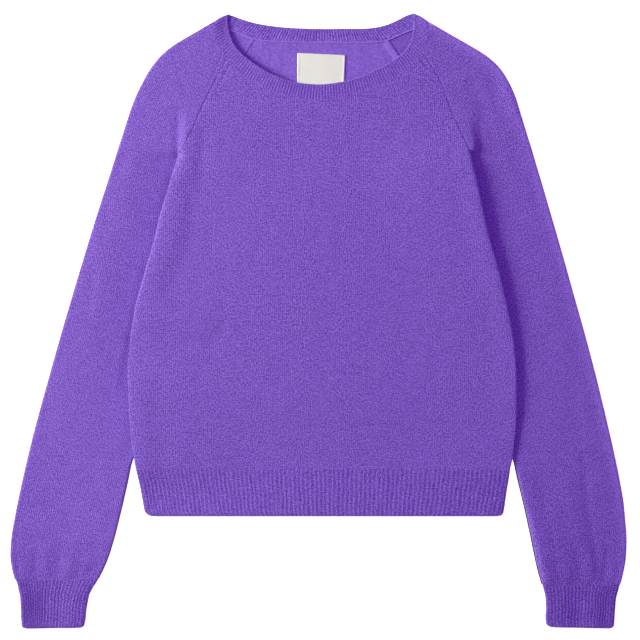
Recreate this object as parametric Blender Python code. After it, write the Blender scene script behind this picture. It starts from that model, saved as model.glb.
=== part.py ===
"""Cropped crew-neck sweater with raglan sleeves, laid flat with its front up.

The sweater lies on the plane z = 0 with its neck toward +Y. The sleeves hang down beside the
body, and the inner edge of each one is tucked under the body's side. All lengths are in
millimetres until the meshes are made. The wearer's right side is at -X.
"""
import bmesh
import bpy
import numpy as np

MM = 0.001

# Driving dimensions
CLOTH = 1.8          # wall of the brushed stockinette
RIB_CLOTH = 2.2      # wall of the ribbed pieces, between two ribs
RIB_HEIGHT = 0.6     # how far a rib stands up from that wall
STACK = 6.2          # front and back laid on each other, top to bottom
SEAM = 0.3           # clear gap between two pieces at a seam
NECK_SEAM = 0.7      # the same where a faceted edge follows the curve of the neckband
ROLL = 4.5           # width over which a folded edge rounds down to its middle
FADE = 22.0          # width over which the body comes down beside what lies under its edge
COVER = 9.0          # how far it stays up past the edge of what lies under it
PLEAT = 3.5          # half the width of the step down from the underarm fold to the sleeve
HEM_RIBS = 84        # ribs across the front hem
CUFF_RIBS = 20       # ribs across the top of a cuff
NECK_RIB_PITCH = 3.0  # distance between two ribs of the neckband
LABEL_WIDTH, LABEL_HEIGHT, LABEL_CLOTH = 50.0, 50.0, 0.8

PURPLE = (0.205, 0.100, 0.527, 1.0)
CREAM = (0.80, 0.77, 0.72, 1.0)

# Side edge of the body from the hem up, a row for each section: height along the body, the
# edge, the crest that what lies under the cloth lifts it to, and the lift of front and back.
# The last four rows carry the crest on above the underarm, where it is the underarm fold.
#    y      edge    crest   front  back
BODY_SIDE = {
    -1: [
        (-203.0, -176.6, -176.6, 0.0, 0.0),
        (-197.5, -180.7, -180.7, 0.0, 0.0),
        (-186.5, -182.7, -182.7, 0.0, 0.0),
        (-170.5, -185.7, -185.7, 1.5, 1.5),
        (-155.0, -189.1, -189.1, 4.6, 4.6),
        (-144.5, -191.0, -190.5, 6.6, 6.6),
        (-124.0, -194.0, -184.0, 6.6, 6.6),
        (-91.5, -196.5, -172.0, 6.6, 6.6),
        (-52.0, -197.5, -158.0, 6.6, 6.6),
        (-16.0, -195.0, -146.0, 6.6, 6.6),
        (19.5, -189.0, -134.5, 6.6, 6.6),
        (55.0, -179.0, -126.0, 6.6, 6.6),
        (86.0, -169.5, -124.0, 6.6, 6.6),
        (111.0, -163.0, -129.0, 6.6, 6.6),
        (128.0, -157.5, -138.5, 6.6, 6.6),
        (139.0, -154.5, -149.0, 6.6, 6.6),
        (147.5, -152.0, -152.0, 6.6, 6.3),
        (157.0, -150.0, -150.0, 6.6, 3.8),
        (164.0, -148.0, -148.0, 6.4, 1.5),
        (172.5, -146.0, -146.0, 6.2, 0.0),
        (188.0, -145.0, -145.0, 4.6, 0.0),
        (203.5, -144.5, -144.5, 2.2, 0.0),
        (219.5, -143.0, -143.0, 0.3, 0.0),
        (229.5, -142.5, -142.5, 0.0, 0.0),
    ],
    1: [
        (-203.0, 189.2, 189.2, 0.0, 0.0),
        (-197.5, 191.6, 191.6, 0.0, 0.0),
        (-186.5, 194.1, 194.1, 0.0, 0.0),
        (-170.5, 196.8, 196.8, 1.5, 1.5),
        (-155.0, 199.0, 199.0, 4.6, 4.6),
        (-144.5, 201.5, 201.0, 6.6, 6.6),
        (-124.0, 204.0, 195.0, 6.6, 6.6),
        (-95.0, 206.0, 184.5, 6.6, 6.6),
        (-52.0, 205.5, 169.5, 6.6, 6.6),
        (-16.0, 201.0, 158.0, 6.6, 6.6),
        (19.5, 195.0, 147.0, 6.6, 6.6),
        (55.0, 187.0, 139.0, 6.6, 6.6),
        (86.0, 177.5, 136.0, 6.6, 6.6),
        (111.0, 172.0, 141.5, 6.6, 6.6),
        (128.0, 168.5, 151.0, 6.6, 6.6),
        (139.0, 166.0, 161.0, 6.6, 6.6),
        (147.5, 164.0, 164.0, 6.6, 6.3),
        (157.0, 162.0, 162.0, 6.6, 3.8),
        (165.0, 160.0, 160.0, 6.4, 1.5),
        (174.5, 158.5, 158.5, 6.2, 0.0),
        (188.0, 159.0, 159.0, 4.6, 0.0),
        (203.5, 158.5, 158.5, 2.2, 0.0),
        (219.5, 157.5, 157.5, 0.3, 0.0),
        (229.5, 157.0, 157.0, 0.0, 0.0),
    ],
}
HEM_TOP = 4          # row of BODY_SIDE where the hem rib begins
UNDERARM = 19        # row of BODY_SIDE where the side meets the raglan seams

# Each sleeve from the neck down to the cuff, a row for each section: its front edge, its
# outer fold and its back edge. The first rows run along the raglan seams, down to the
# underarm, and below it the front and back edges meet in the underarm seam.
#   front x  y      outer x  y      back x  y
SLEEVE = {
    -1: [
        (-96.5, 271.5, -109.8, 310.7, -66.0, 293.5),
        (-106.0, 252.0, -131.0, 298.5, -78.0, 274.5),
        (-115.0, 235.5, -152.3, 286.1, -90.0, 256.0),
        (-120.0, 225.0, -164.9, 275.4, -100.0, 241.5),
        (-124.5, 214.5, -175.6, 261.5, -110.5, 226.0),
        (-130.5, 200.0, -187.8, 239.0, -123.0, 207.5),
        (-135.5, 190.5, -195.0, 221.0, -130.0, 196.0),
        (-141.5, 179.0, -200.5, 203.5, -138.5, 183.5),
        (-146.0, 172.5, -204.0, 193.0, -146.0, 172.5),
        (-148.5, 164.0, -206.5, 185.0, -148.5, 164.0),
        (-152.5, 148.5, -211.3, 170.0, -152.5, 148.5),
        (-148.0, 136.0, -215.3, 157.0, -148.0, 136.0),
        (-138.5, 122.5, -220.8, 140.0, -138.5, 122.5),
        (-129.0, 104.0, -227.8, 118.5, -129.0, 104.0),
        (-125.5, 79.0, -236.6, 90.5, -125.5, 79.0),
        (-127.0, 51.0, -245.6, 61.0, -127.0, 51.0),
        (-134.5, 19.5, -256.4, 25.0, -134.5, 19.5),
        (-146.0, -16.0, -266.2, -8.5, -146.0, -16.0),
        (-158.0, -52.0, -276.2, -44.0, -158.0, -52.0),
        (-172.0, -91.5, -287.0, -82.5, -172.0, -91.5),
        (-184.0, -124.0, -295.9, -115.5, -184.0, -124.0),
        (-195.6, -155.0, -305.2, -154.0, -195.6, -155.0),
        (-203.5, -190.0, -312.9, -190.0, -203.5, -190.0),
        (-211.5, -222.5, -319.0, -222.5, -211.5, -222.5),
        (-218.0, -244.5, -320.5, -244.5, -218.0, -244.5),
        (-225.0, -260.0, -318.0, -260.0, -225.0, -260.0),
        (-230.8, -270.0, -314.5, -270.0, -230.8, -270.0),
    ],
    1: [
        (109.0, 278.0, 114.8, 310.8, 71.0, 292.0),
        (122.5, 258.0, 136.0, 298.7, 82.5, 274.5),
        (131.0, 240.5, 160.0, 284.9, 95.0, 255.5),
        (135.5, 225.0, 175.5, 275.7, 105.5, 241.5),
        (140.5, 212.0, 188.6, 263.9, 117.5, 226.0),
        (144.5, 204.5, 198.0, 249.0, 133.0, 207.0),
        (149.5, 192.0, 204.8, 234.5, 142.0, 195.5),
        (155.0, 181.5, 211.5, 212.0, 151.0, 183.5),
        (158.5, 174.5, 216.6, 195.5, 158.5, 174.5),
        (161.0, 165.0, 219.6, 186.0, 161.0, 165.0),
        (164.5, 148.5, 224.1, 171.0, 164.5, 148.5),
        (160.0, 136.0, 227.7, 158.5, 160.0, 136.0),
        (151.0, 122.5, 232.9, 141.5, 151.0, 122.5),
        (142.0, 104.0, 240.3, 116.0, 142.0, 104.0),
        (137.5, 79.0, 249.5, 84.5, 137.5, 79.0),
        (139.0, 51.0, 258.2, 54.0, 139.0, 51.0),
        (147.0, 19.5, 266.5, 24.0, 147.0, 19.5),
        (158.0, -16.0, 277.1, -13.5, 158.0, -16.0),
        (169.5, -52.0, 287.6, -53.0, 169.5, -52.0),
        (184.0, -95.0, 297.0, -91.5, 184.0, -95.0),
        (195.0, -124.0, 303.9, -121.0, 195.0, -124.0),
        (204.0, -152.0, 311.4, -155.0, 204.0, -152.0),
        (212.6, -187.5, 316.8, -186.5, 212.6, -187.5),
        (220.8, -225.0, 320.2, -225.0, 220.8, -225.0),
        (225.3, -247.5, 319.4, -247.5, 225.3, -247.5),
        (230.0, -265.0, 316.0, -265.0, 230.0, -265.0),
        (233.6, -276.0, 312.6, -276.0, 233.6, -276.0),
    ],
}
SLEEVE_UNDERARM = 8  # row of SLEEVE at the underarm
SLEEVE_BEND = {0: 1.0, 1: 0.45, 2: 0.12}   # how far its first rows follow the neckband
NECK_BEND = 1.6      # how fast the body's rows bend toward the neckline

# Neckband, a row for each section from the wearer's right shoulder fold to the left one:
# the neck edge and the edge that is linked to the sweater.
#   neck x   y      seam x   y
BAND_FRONT = [
    (-93.5, 319.2, -109.0, 311.3),
    (-94.5, 311.5, -110.0, 304.5),
    (-93.0, 302.5, -109.5, 298.5),
    (-90.0, 293.0, -106.5, 288.0),
    (-85.5, 284.5, -100.0, 275.5),
    (-79.0, 277.5, -91.5, 266.0),
    (-71.0, 271.0, -81.5, 257.0),
    (-58.0, 262.0, -67.0, 247.0),
    (-43.0, 254.5, -49.5, 238.5),
    (-22.0, 248.0, -25.5, 231.5),
    (2.0, 246.0, 2.0, 229.0),
    (26.0, 249.0, 30.0, 232.5),
    (44.0, 254.5, 51.0, 239.0),
    (59.0, 261.0, 67.0, 245.5),
    (72.5, 268.0, 82.0, 254.0),
    (83.0, 275.0, 94.5, 262.0),
    (90.0, 281.0, 103.0, 269.5),
    (95.5, 289.5, 110.5, 282.0),
    (98.0, 299.5, 115.0, 295.5),
    (99.5, 308.5, 115.5, 303.0),
    (98.3, 320.2, 114.0, 311.4),
]
BAND_BACK = [
    (-93.5, 319.2, -109.0, 311.3),
    (-87.0, 316.8, -100.0, 306.5),
    (-79.5, 313.8, -90.0, 302.5),
    (-70.0, 310.9, -76.5, 297.5),
    (-62.0, 309.0, -66.0, 293.5),
    (-48.0, 306.8, -50.0, 291.5),
    (-28.0, 304.9, -28.0, 290.5),
    (2.0, 303.8, 2.0, 290.0),
    (30.5, 304.0, 30.5, 290.0),
    (50.0, 304.2, 52.0, 290.0),
    (65.5, 306.5, 71.0, 292.0),
    (76.0, 310.0, 82.5, 297.0),
    (85.0, 314.5, 93.0, 301.5),
    (92.3, 318.3, 103.0, 305.5),
    (98.3, 320.2, 114.0, 311.4),
]
BACK_RAGLAN_AT = {-1: 4, 1: 10}   # row of BAND_BACK where each back raglan seam meets it

# Each cuff from the sleeve down to its open end: the inner edge and the outer fold.
#   inner x  y      outer x  y
CUFF = {
    -1: [
        (-230.8, -270.0, -314.5, -270.0),
        (-238.3, -285.0, -310.2, -285.0),
        (-242.2, -307.0, -309.0, -307.0),
        (-243.5, -316.0, -308.2, -316.0),
        (-245.5, -319.0, -306.0, -319.0),
    ],
    1: [
        (233.6, -276.0, 312.6, -276.0),
        (235.8, -288.0, 309.5, -288.0),
        (236.6, -307.0, 307.9, -307.0),
        (237.6, -316.0, 307.3, -316.0),
        (239.8, -319.0, 305.2, -319.0),
    ],
}

SIDE_NAMES = {-1: "right", 1: "left"}   # the wearer's side at -X and at +X


# ---------------------------------------------------------------- curves and levels

def smooth(t):
    """0 below 0, 1 above 1, and a soft step between."""
    t = np.clip(t, 0.0, 1.0)
    return t * t * (3.0 - 2.0 * t)


def roll(distance):
    """Height of a rounded edge, 0 at the edge and 1 where it has come level."""
    t = np.clip(np.asarray(distance, float) / ROLL, 0.0, 1.0)
    return np.sqrt(1.0 - (1.0 - t) ** 2)


def along(points, stations):
    """Points of a smooth curve through the rows of points, at row numbers with fractions."""
    points = np.asarray(points, float)
    tangents = np.gradient(points, axis=0)
    stations = np.clip(np.asarray(stations, float), 0.0, len(points) - 1.0)
    start = np.minimum(stations.astype(int), len(points) - 2)
    t = (stations - start)[:, None]
    a, b, ta, tb = points[start], points[start + 1], tangents[start], tangents[start + 1]
    return (a * (1 + 2 * t) * (1 - t) ** 2 + ta * t * (1 - t) ** 2
            + b * t * t * (3 - 2 * t) - tb * t * t * (1 - t))


def at_lengths(curve, lengths):
    """Points at distances along a polyline."""
    steps = np.linalg.norm(np.diff(curve, axis=0), axis=1)
    travelled = np.concatenate([[0.0], np.cumsum(steps)])
    return np.stack([np.interp(lengths, travelled, curve[:, k]) for k in range(2)], axis=1)


def total(curve):
    return float(np.linalg.norm(np.diff(curve, axis=0), axis=1).sum())


def side_value(side, y, column):
    table = np.array(BODY_SIDE[side])
    return np.interp(y, table[:, 0], table[:, column])


def lift(x, y, column, folded):
    """Lift of the cloth over what lies under both edges; folded adds the underarm fold."""
    height = np.zeros_like(x)
    for side in (-1, 1):
        inboard = (side_value(side, y, 2) - x) * side
        one = side_value(side, y, column) * (1.0 - smooth((inboard - COVER) / FADE))
        if folded:
            one = one * smooth((inboard + PLEAT) / (2 * PLEAT))
        height = np.maximum(height, one)
    return height


# ---------------------------------------------------------------- meshes

def material(name, colour, roughness):
    made = bpy.data.materials.new(name)
    made.use_nodes = True
    shader = made.node_tree.nodes["Principled BSDF"]
    shader.inputs["Base Color"].default_value = colour
    shader.inputs["Roughness"].default_value = roughness
    shader.inputs["Metallic"].default_value = 0.0
    return made


def add_object(name, mesh, finish):
    mesh.materials.append(finish)
    made = bpy.data.objects.new(name, mesh)
    COLLECTION.objects.link(made)
    return made


def cloth_wall(name, outer, inner, finish, ring=False):
    """Wall of cloth between two grids of points; a ring joins its last row to its first."""
    rows, columns = outer.shape[:2]
    shape = bmesh.new()
    sheets = []
    for grid in (outer, inner):
        sheets.append([[shape.verts.new(point * MM) for point in row] for row in grid])
    spans = rows if ring else rows - 1
    for i in range(spans):
        k = (i + 1) % rows
        for j in range(columns - 1):
            for sheet in sheets:
                shape.faces.new((sheet[i][j], sheet[i][j + 1], sheet[k][j + 1], sheet[k][j]))
        for j in (0, columns - 1):
            top, under = sheets
            shape.faces.new((top[i][j], top[k][j], under[k][j], under[i][j]))
    if not ring:
        for i in (0, rows - 1):
            for j in range(columns - 1):
                top, under = sheets
                shape.faces.new((top[i][j], top[i][j + 1], under[i][j + 1], under[i][j]))
    bmesh.ops.recalc_face_normals(shape, faces=shape.faces)
    mesh = bpy.data.meshes.new(name)
    shape.to_mesh(mesh)
    shape.free()
    mesh.shade_smooth()
    mesh.set_sharp_from_angle(angle=np.radians(50))
    return add_object(name, mesh, finish)


def inset(grid, neck_row=None):
    """Draw the border of a grid in by half a seam, and its row at the neckband by more."""
    grid = grid.copy()
    lines = [(grid[:, 0], grid[:, 1], SEAM), (grid[:, -1], grid[:, -2], SEAM),
             (grid[0], grid[1], NECK_SEAM if neck_row == 0 else SEAM),
             (grid[-1], grid[-2], NECK_SEAM if neck_row == -1 else SEAM)]
    for edge, next_line, gap in lines:
        step = (next_line - edge)[:, :2]
        length = np.maximum(np.linalg.norm(step, axis=1, keepdims=True), 1e-6)
        edge[:, :2] += step / length * np.minimum(gap * 0.6, 0.4 * length)
    return grid


# ---------------------------------------------------------------- body: panels and hem ribs

EDGE_COLUMNS = np.array([0.0, 0.134, 0.5, 1.0]) * ROLL      # round a rolled edge
FALL_COLUMNS = COVER + np.array([0.0, 0.25, 0.5, 0.75, 1.0]) * FADE    # inboard of the crest
LEAST_COLUMN = 2.5   # between two of those where the crest lies outside the panel


def even_columns(curve, share):
    """Distances along a section of its rolled edges and of shares of what is between."""
    length = total(curve)
    middle = ROLL + np.asarray(share) * (length - 2 * ROLL)
    return np.concatenate([EDGE_COLUMNS, middle, length - EDGE_COLUMNS[::-1]])


def crest_columns(curve, share):
    """The same, with more columns where the cloth comes down inboard of each crest."""
    length = total(curve)
    falls = []
    for side, (x, y) in ((-1, curve[0]), (1, curve[-1])):
        crest = (x - side_value(side, y, 2)) * side
        least = ROLL + LEAST_COLUMN * np.arange(1, len(FALL_COLUMNS) + 1)
        falls.append(np.maximum(crest + FALL_COLUMNS, least))
    start, end = falls[0], (length - falls[1])[::-1]
    middle = start[-1] + np.asarray(share) * (end[0] - start[-1])
    return np.concatenate([EDGE_COLUMNS, start, middle, end, length - EDGE_COLUMNS[::-1]])


def body_section(curve, outer_at, closed, folded, ridges=None):
    """Points of one section of front and back: each as an outer and an inner row."""
    length = total(curve)
    from_edge = np.minimum(outer_at, length - outer_at)
    shift = CLOTH * closed * (1.0 - np.clip(from_edge / ROLL, 0.0, 1.0))
    inner_at = outer_at + np.where(outer_at < length / 2, shift, -shift)
    round_off = closed * roll(from_edge) + (1.0 - closed)
    sections = {}
    plan = {"outer": at_lengths(curve, outer_at), "inner": at_lengths(curve, inner_at)}
    ends = plan["outer"][[0, -1]]
    end_base = lift(ends[:, 0], ends[:, 1], 4, False)
    middle = np.where(outer_at < length / 2, *(end_base + STACK / 2))
    for layer in ("front", "back"):
        for face in ("outer", "inner"):
            x, y = plan[face].T
            base = lift(x, y, 4, False)
            level = {
                ("front", "outer"): STACK + lift(x, y, 3, folded),
                ("front", "inner"): base + STACK - CLOTH,
                ("back", "inner"): base + CLOTH,
                ("back", "outer"): base,
            }[layer, face]
            seam = SEAM / 2 if layer == "front" else -SEAM / 2
            start = middle + seam
            z = np.where(round_off < 1.0, start + (level - start) * round_off, level)
            if ridges is not None and (layer, face) == ("front", "outer"):
                z = z + ridges
            sections[layer, face] = np.stack([x, y, z], axis=1)
    return sections


def stack_rows(sections, layer):
    outer = np.array([section[layer, "outer"] for section in sections])
    inner = np.array([section[layer, "inner"] for section in sections])
    return outer, inner


def straight(start, end):
    return np.array([start, end], float)


def side_sections(rows, columns, share, ridges=None):
    """Sections straight across the body, from the hem or the hem rib up to the underarm."""
    sections = []
    for row in rows:
        ends = [(BODY_SIDE[side][row][1], BODY_SIDE[side][row][0]) for side in (-1, 1)]
        curve = straight(*ends)
        sections.append(body_section(curve, columns(curve, share), 1.0, False, ridges))
    return sections


def raglan_sections(seams, neck_curve, share):
    """Sections above the underarm, which bend down to follow the neckline."""
    sections = []
    steps = len(seams[-1]) - 1
    samples = np.linspace(0.0, 1.0, 60)[:, None]
    neck = at_lengths(neck_curve, samples[:, 0] * total(neck_curve))
    neck_dip = neck - (neck[0] + samples * (neck[-1] - neck[0]))
    for step in range(1, steps + 1):
        start, end = np.array(seams[-1][step]), np.array(seams[1][step])
        bend = (step / steps) ** NECK_BEND
        curve = start + samples * (end - start) + neck_dip * bend
        sections.append(body_section(curve, crest_columns(curve, share), 0.0, True))
    return sections


def front_neck_curve():
    ends = [raglan_station(side) for side in (-1, 1)]
    return along(np.array(BAND_FRONT)[:, 2:], np.linspace(*ends, 90))


def raglan_station(side):
    """Row of BAND_FRONT, with its fraction, where a front raglan seam meets the band."""
    stations = np.linspace(0, len(BAND_FRONT) - 1, 2000)
    curve = along(np.array(BAND_FRONT)[:, 2:], stations)
    corner = np.array(SLEEVE[side][0][:2])
    return stations[np.argmin(np.linalg.norm(curve - corner, axis=1))]


def back_neck_curve():
    ends = [BACK_RAGLAN_AT[side] for side in (-1, 1)]
    return along(np.array(BAND_BACK)[:, 2:], np.linspace(*ends, 60))


FRONT_SHARE = np.linspace(0.0, 1.0, 12)[1:-1]   # columns between the two falls
BACK_SHARE = np.linspace(0.0, 1.0, 8)[1:-1]


def make_body(wool):
    rows = range(HEM_TOP, UNDERARM + 1)
    for layer, first, share, neck in (("front", 0, FRONT_SHARE, front_neck_curve()),
                                      ("back", 4, BACK_SHARE, back_neck_curve())):
        seams = {side: [row[first:first + 2] for row in SLEEVE[side][SLEEVE_UNDERARM::-1]]
                 for side in (-1, 1)}
        sections = side_sections(rows, crest_columns, share)
        sections += raglan_sections(seams, neck, share)
        outer, inner = stack_rows(sections, layer)
        cloth_wall(layer + "_panel", inset(outer, -1), inset(inner, -1), wool)


def make_hem(rib_wool):
    """The front hem's ribs stand up; the back hem lies on its face and stays plain."""
    rows = (0, 1, HEM_TOP)
    share = np.arange(1, 2 * HEM_RIBS) / (2 * HEM_RIBS)
    crests = np.where(np.arange(1, 2 * HEM_RIBS) % 2 == 1, RIB_HEIGHT, 0.0)
    edge = np.zeros(len(EDGE_COLUMNS))
    ridges = np.concatenate([edge, crests, edge])
    front = side_sections(rows, even_columns, share, ridges)
    outer, inner = stack_rows(front, "front")
    cloth_wall("hem_rib_front", inset(outer), inset(inner), rib_wool)
    back = side_sections(range(HEM_TOP + 1), crest_columns, BACK_SHARE)
    outer, inner = stack_rows(back, "back")
    cloth_wall("hem_rib_back", inset(outer), inset(inner), rib_wool)


# ---------------------------------------------------------------- sleeves and cuffs

def fold_columns(reach, folded):
    """Front columns from the inner edge out: close together where the underarm fold steps."""
    plain = np.concatenate([EDGE_COLUMNS, [10.0, 17.0, 26.0]])
    if not folded or reach < PLEAT:
        return plain
    before = (reach - PLEAT) * np.array([0.0, 0.5])
    around = reach + PLEAT * np.array([-1.0, -0.35, 0.35, 1.0, 2.5])
    return np.concatenate([before, around])


def tube_section(front, back, reach, folded, closed, ribs=0, cloth=CLOTH):
    """One section round a flattened tube, from its front edge over the outer fold to its back.

    front and back are the plan curves of its two layers, from the inner edge to the fold.
    """
    front_length, back_length = total(front), total(back)
    if ribs:
        share = np.arange(1, 2 * ribs) / (2 * ribs)
        start = EDGE_COLUMNS
    else:
        share = np.array([0.45])
        start = fold_columns(reach, folded)
    middle = start[-1] + share * (front_length - ROLL - start[-1])
    front_at = np.concatenate([start, middle, front_length - EDGE_COLUMNS[::-1]])
    back_middle = ROLL + np.array([0.5]) * (back_length - 2 * ROLL)
    back_at = np.concatenate([EDGE_COLUMNS, back_middle, back_length - EDGE_COLUMNS[::-1]])
    crests = np.zeros(len(front_at))
    if ribs:
        crests[len(start):len(start) + len(share)] = np.where(
            np.arange(1, 2 * ribs) % 2 == 1, RIB_HEIGHT, 0.0)
    rows = {}
    for face, inward in (("outer", 0.0), ("inner", cloth)):
        parts = []
        for curve, length, places, top in ((front, front_length, front_at, True),
                                           (back, back_length, back_at, False)):
            from_inner, from_fold = places, length - places
            moved = (places + inward * closed * (1.0 - np.clip(from_inner / ROLL, 0.0, 1.0))
                     - inward * (1.0 - np.clip(from_fold / ROLL, 0.0, 1.0)))
            x, y = at_lengths(curve, moved).T
            if top:
                level = STACK - inward
                if folded and face == "outer":
                    level = STACK + lift(x, y, 3, True)
                seam = SEAM / 2
            else:
                level, seam = inward, -SEAM / 2
            half = STACK / 2
            z = half + (level - half) * roll(from_fold)
            near = closed * (1.0 - roll(from_inner))
            z = z + (half + seam - z) * near
            if top and face == "outer":
                z = z + crests
            parts.append(np.stack([x, y, z], axis=1))
        front_part, back_part = parts
        rows[face] = np.concatenate([front_part, back_part[::-1][1:]])
    return rows["outer"], rows["inner"]


def make_sleeve(side, wool):
    seam_stations = np.linspace(raglan_station(side), 0 if side < 0 else len(BAND_FRONT) - 1, 40)
    front_seam = along(np.array(BAND_FRONT)[:, 2:], seam_stations)
    back_stations = np.linspace(BACK_RAGLAN_AT[side], 0 if side < 0 else len(BAND_BACK) - 1, 40)
    back_seam = along(np.array(BAND_BACK)[:, 2:], back_stations)
    samples = np.linspace(0.0, 1.0, 40)[:, None]
    outer_rows, inner_rows = [], []
    for number, row in enumerate(SLEEVE[side]):
        front_edge, fold, back_edge = (np.array(row[k:k + 2]) for k in (0, 2, 4))
        curves = []
        for edge, seam in ((front_edge, front_seam), (back_edge, back_seam)):
            dip = seam - (seam[0] + samples * (seam[-1] - seam[0]))
            curves.append(edge + samples * (fold - edge) + dip * SLEEVE_BEND.get(number, 0.0))
        folded = number <= SLEEVE_UNDERARM
        length = total(curves[0])
        across = abs(fold[0] - front_edge[0]) / np.linalg.norm(fold - front_edge)
        to_crest = (front_edge[0] - side_value(side, front_edge[1], 2)) * -side / across
        reach = min(max(to_crest, 0.0), 0.45 * length)
        closed = 0.0 if number < SLEEVE_UNDERARM else 1.0
        outer, inner = tube_section(curves[0], curves[1], reach, folded, closed)
        outer_rows.append(outer)
        inner_rows.append(inner)
    cloth_wall("sleeve_" + SIDE_NAMES[side], inset(np.array(outer_rows), 0),
               inset(np.array(inner_rows), 0), wool)


def make_cuff(side, rib_wool):
    outer_rows, inner_rows = [], []
    for inner_x, inner_y, outer_x, outer_y in CUFF[side]:
        curve = straight((inner_x, inner_y), (outer_x, outer_y))
        outer, inner = tube_section(curve, curve, 0.0, False, 1.0, CUFF_RIBS, RIB_CLOTH)
        outer_rows.append(outer)
        inner_rows.append(inner)
    cloth_wall("cuff_" + SIDE_NAMES[side], inset(np.array(outer_rows)),
               inset(np.array(inner_rows)), rib_wool)


# ---------------------------------------------------------------- neckband and label

def band_half(table, front):
    """Sections of half the neckband, from fold to fold: neck edge and seam edge, both faces."""
    table = np.array(table)
    neck, seam = table[:, :2], table[:, 2:]
    last = len(table) - 1
    middle_line = (along(neck, np.linspace(0, last, 400)) + along(seam, np.linspace(0, last, 400)))
    steps = np.linalg.norm(np.diff(middle_line / 2, axis=0), axis=1)
    travelled = np.concatenate([[0.0], np.cumsum(steps)])
    count = 2 * round(travelled[-1] / NECK_RIB_PITCH)
    stations = np.interp(np.linspace(0, travelled[-1], count + 1), travelled,
                         np.linspace(0, last, 400))
    neck_points, seam_points = along(neck, stations), along(seam, stations)
    middle = (neck_points + seam_points) / 2
    from_fold = np.full(len(stations), np.inf)
    inward = np.zeros((len(stations), 2))
    for end in (0, last):
        line = (neck[end] - seam[end]) / np.linalg.norm(neck[end] - seam[end])
        normal = np.array([line[1], -line[0]])
        if normal @ (neck[last // 2] - neck[end]) < 0:
            normal = -normal
        distance = (middle - neck[end]) @ normal
        near = (distance < ROLL) & (np.abs(stations - end) < last / 2)
        distance = np.maximum(distance, 0.0)
        from_fold[near] = distance[near]
        inward[near] = normal
    round_off = roll(np.minimum(from_fold, ROLL))
    shift = inward * (RIB_CLOTH * (1.0 - np.clip(from_fold / ROLL, 0.0, 1.0)))[:, None]
    rib = np.where(np.arange(len(stations)) % 2 == 1, RIB_HEIGHT, 0.0)
    half = STACK / 2
    faces = {}
    for face, depth in (("outer", 0.0), ("inner", RIB_CLOTH)):
        level = STACK - depth if front else depth
        z = half + (level - half) * round_off
        if front and face == "outer":
            z = z + rib * round_off
        if not front and face == "inner":
            z = z + rib * round_off
        moved = shift if face == "inner" else 0.0
        faces[face] = [np.column_stack([edge + moved, z]) for edge in (neck_points, seam_points)]
    return faces


def make_neckband(rib_wool):
    front, back = band_half(BAND_FRONT, True), band_half(BAND_BACK, False)
    grids = {}
    for face in ("outer", "inner"):
        edges = []
        for k in (0, 1):
            edges.append(np.concatenate([front[face][k], back[face][k][::-1][1:-1]]))
        grids[face] = np.stack(edges, axis=1)
    outer, inner = grids["outer"], grids["inner"]
    pull = (outer[:, 0] - outer[:, 1])[:, :2]
    pull = pull / np.linalg.norm(pull, axis=1, keepdims=True) * SEAM * 0.6
    for grid in (outer, inner):
        grid[:, 1, :2] += pull
    cloth_wall("neckband", outer, inner, rib_wool, ring=True)


def make_label(woven):
    """A square label on the back panel, its lower part under the front neckband."""
    corner_left, corner_right = np.array([-22.2, 279.0]), np.array([27.7, 276.6])
    run = corner_right - corner_left
    turn = np.arctan2(run[1], run[0])
    down = np.array([np.sin(turn), -np.cos(turn)])
    centre = (corner_left + corner_right) / 2 + down * LABEL_HEIGHT / 2
    bpy.ops.mesh.primitive_cube_add(size=1.0)
    label = bpy.context.active_object
    for vertex in label.data.vertices:
        vertex.co.x *= LABEL_WIDTH * MM
        vertex.co.y *= LABEL_HEIGHT * MM
        vertex.co.z *= LABEL_CLOTH * MM
    label.location = (centre[0] * MM, centre[1] * MM, (CLOTH + SEAM + LABEL_CLOTH / 2) * MM)
    label.rotation_euler[2] = turn
    shape = bmesh.new()
    shape.from_mesh(label.data)
    upright = [edge for edge in shape.edges
               if abs(edge.verts[0].co.z - edge.verts[1].co.z) > 0.5 * LABEL_CLOTH * MM]
    bmesh.ops.bevel(shape, geom=upright, offset=2.0 * MM, segments=3, affect="EDGES")
    shape.to_mesh(label.data)
    shape.free()
    label.name = label.data.name = "neck_label"
    label.data.materials.append(woven)
    for owner in list(label.users_collection):
        owner.objects.unlink(label)
    COLLECTION.objects.link(label)


# ---------------------------------------------------------------- the sweater

for old in list(bpy.data.objects):
    bpy.data.objects.remove(old, do_unlink=True)
COLLECTION = bpy.data.collections.new("cropped_knit_sweater")
bpy.context.scene.collection.children.link(COLLECTION)

brushed_wool = material("brushed_wool", PURPLE, 0.95)
ribbed_wool = material("ribbed_wool", PURPLE, 0.92)
woven_label = material("woven_label", CREAM, 0.8)

make_body(brushed_wool)
make_hem(ribbed_wool)
for wearer_side in (-1, 1):
    make_sleeve(wearer_side, brushed_wool)
    make_cuff(wearer_side, ribbed_wool)
make_neckband(ribbed_wool)
make_label(woven_label)
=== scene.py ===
"""Looks of a cropped crew-neck sweater in a brushed purple knit, laid flat with its front up."""

import math

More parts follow.
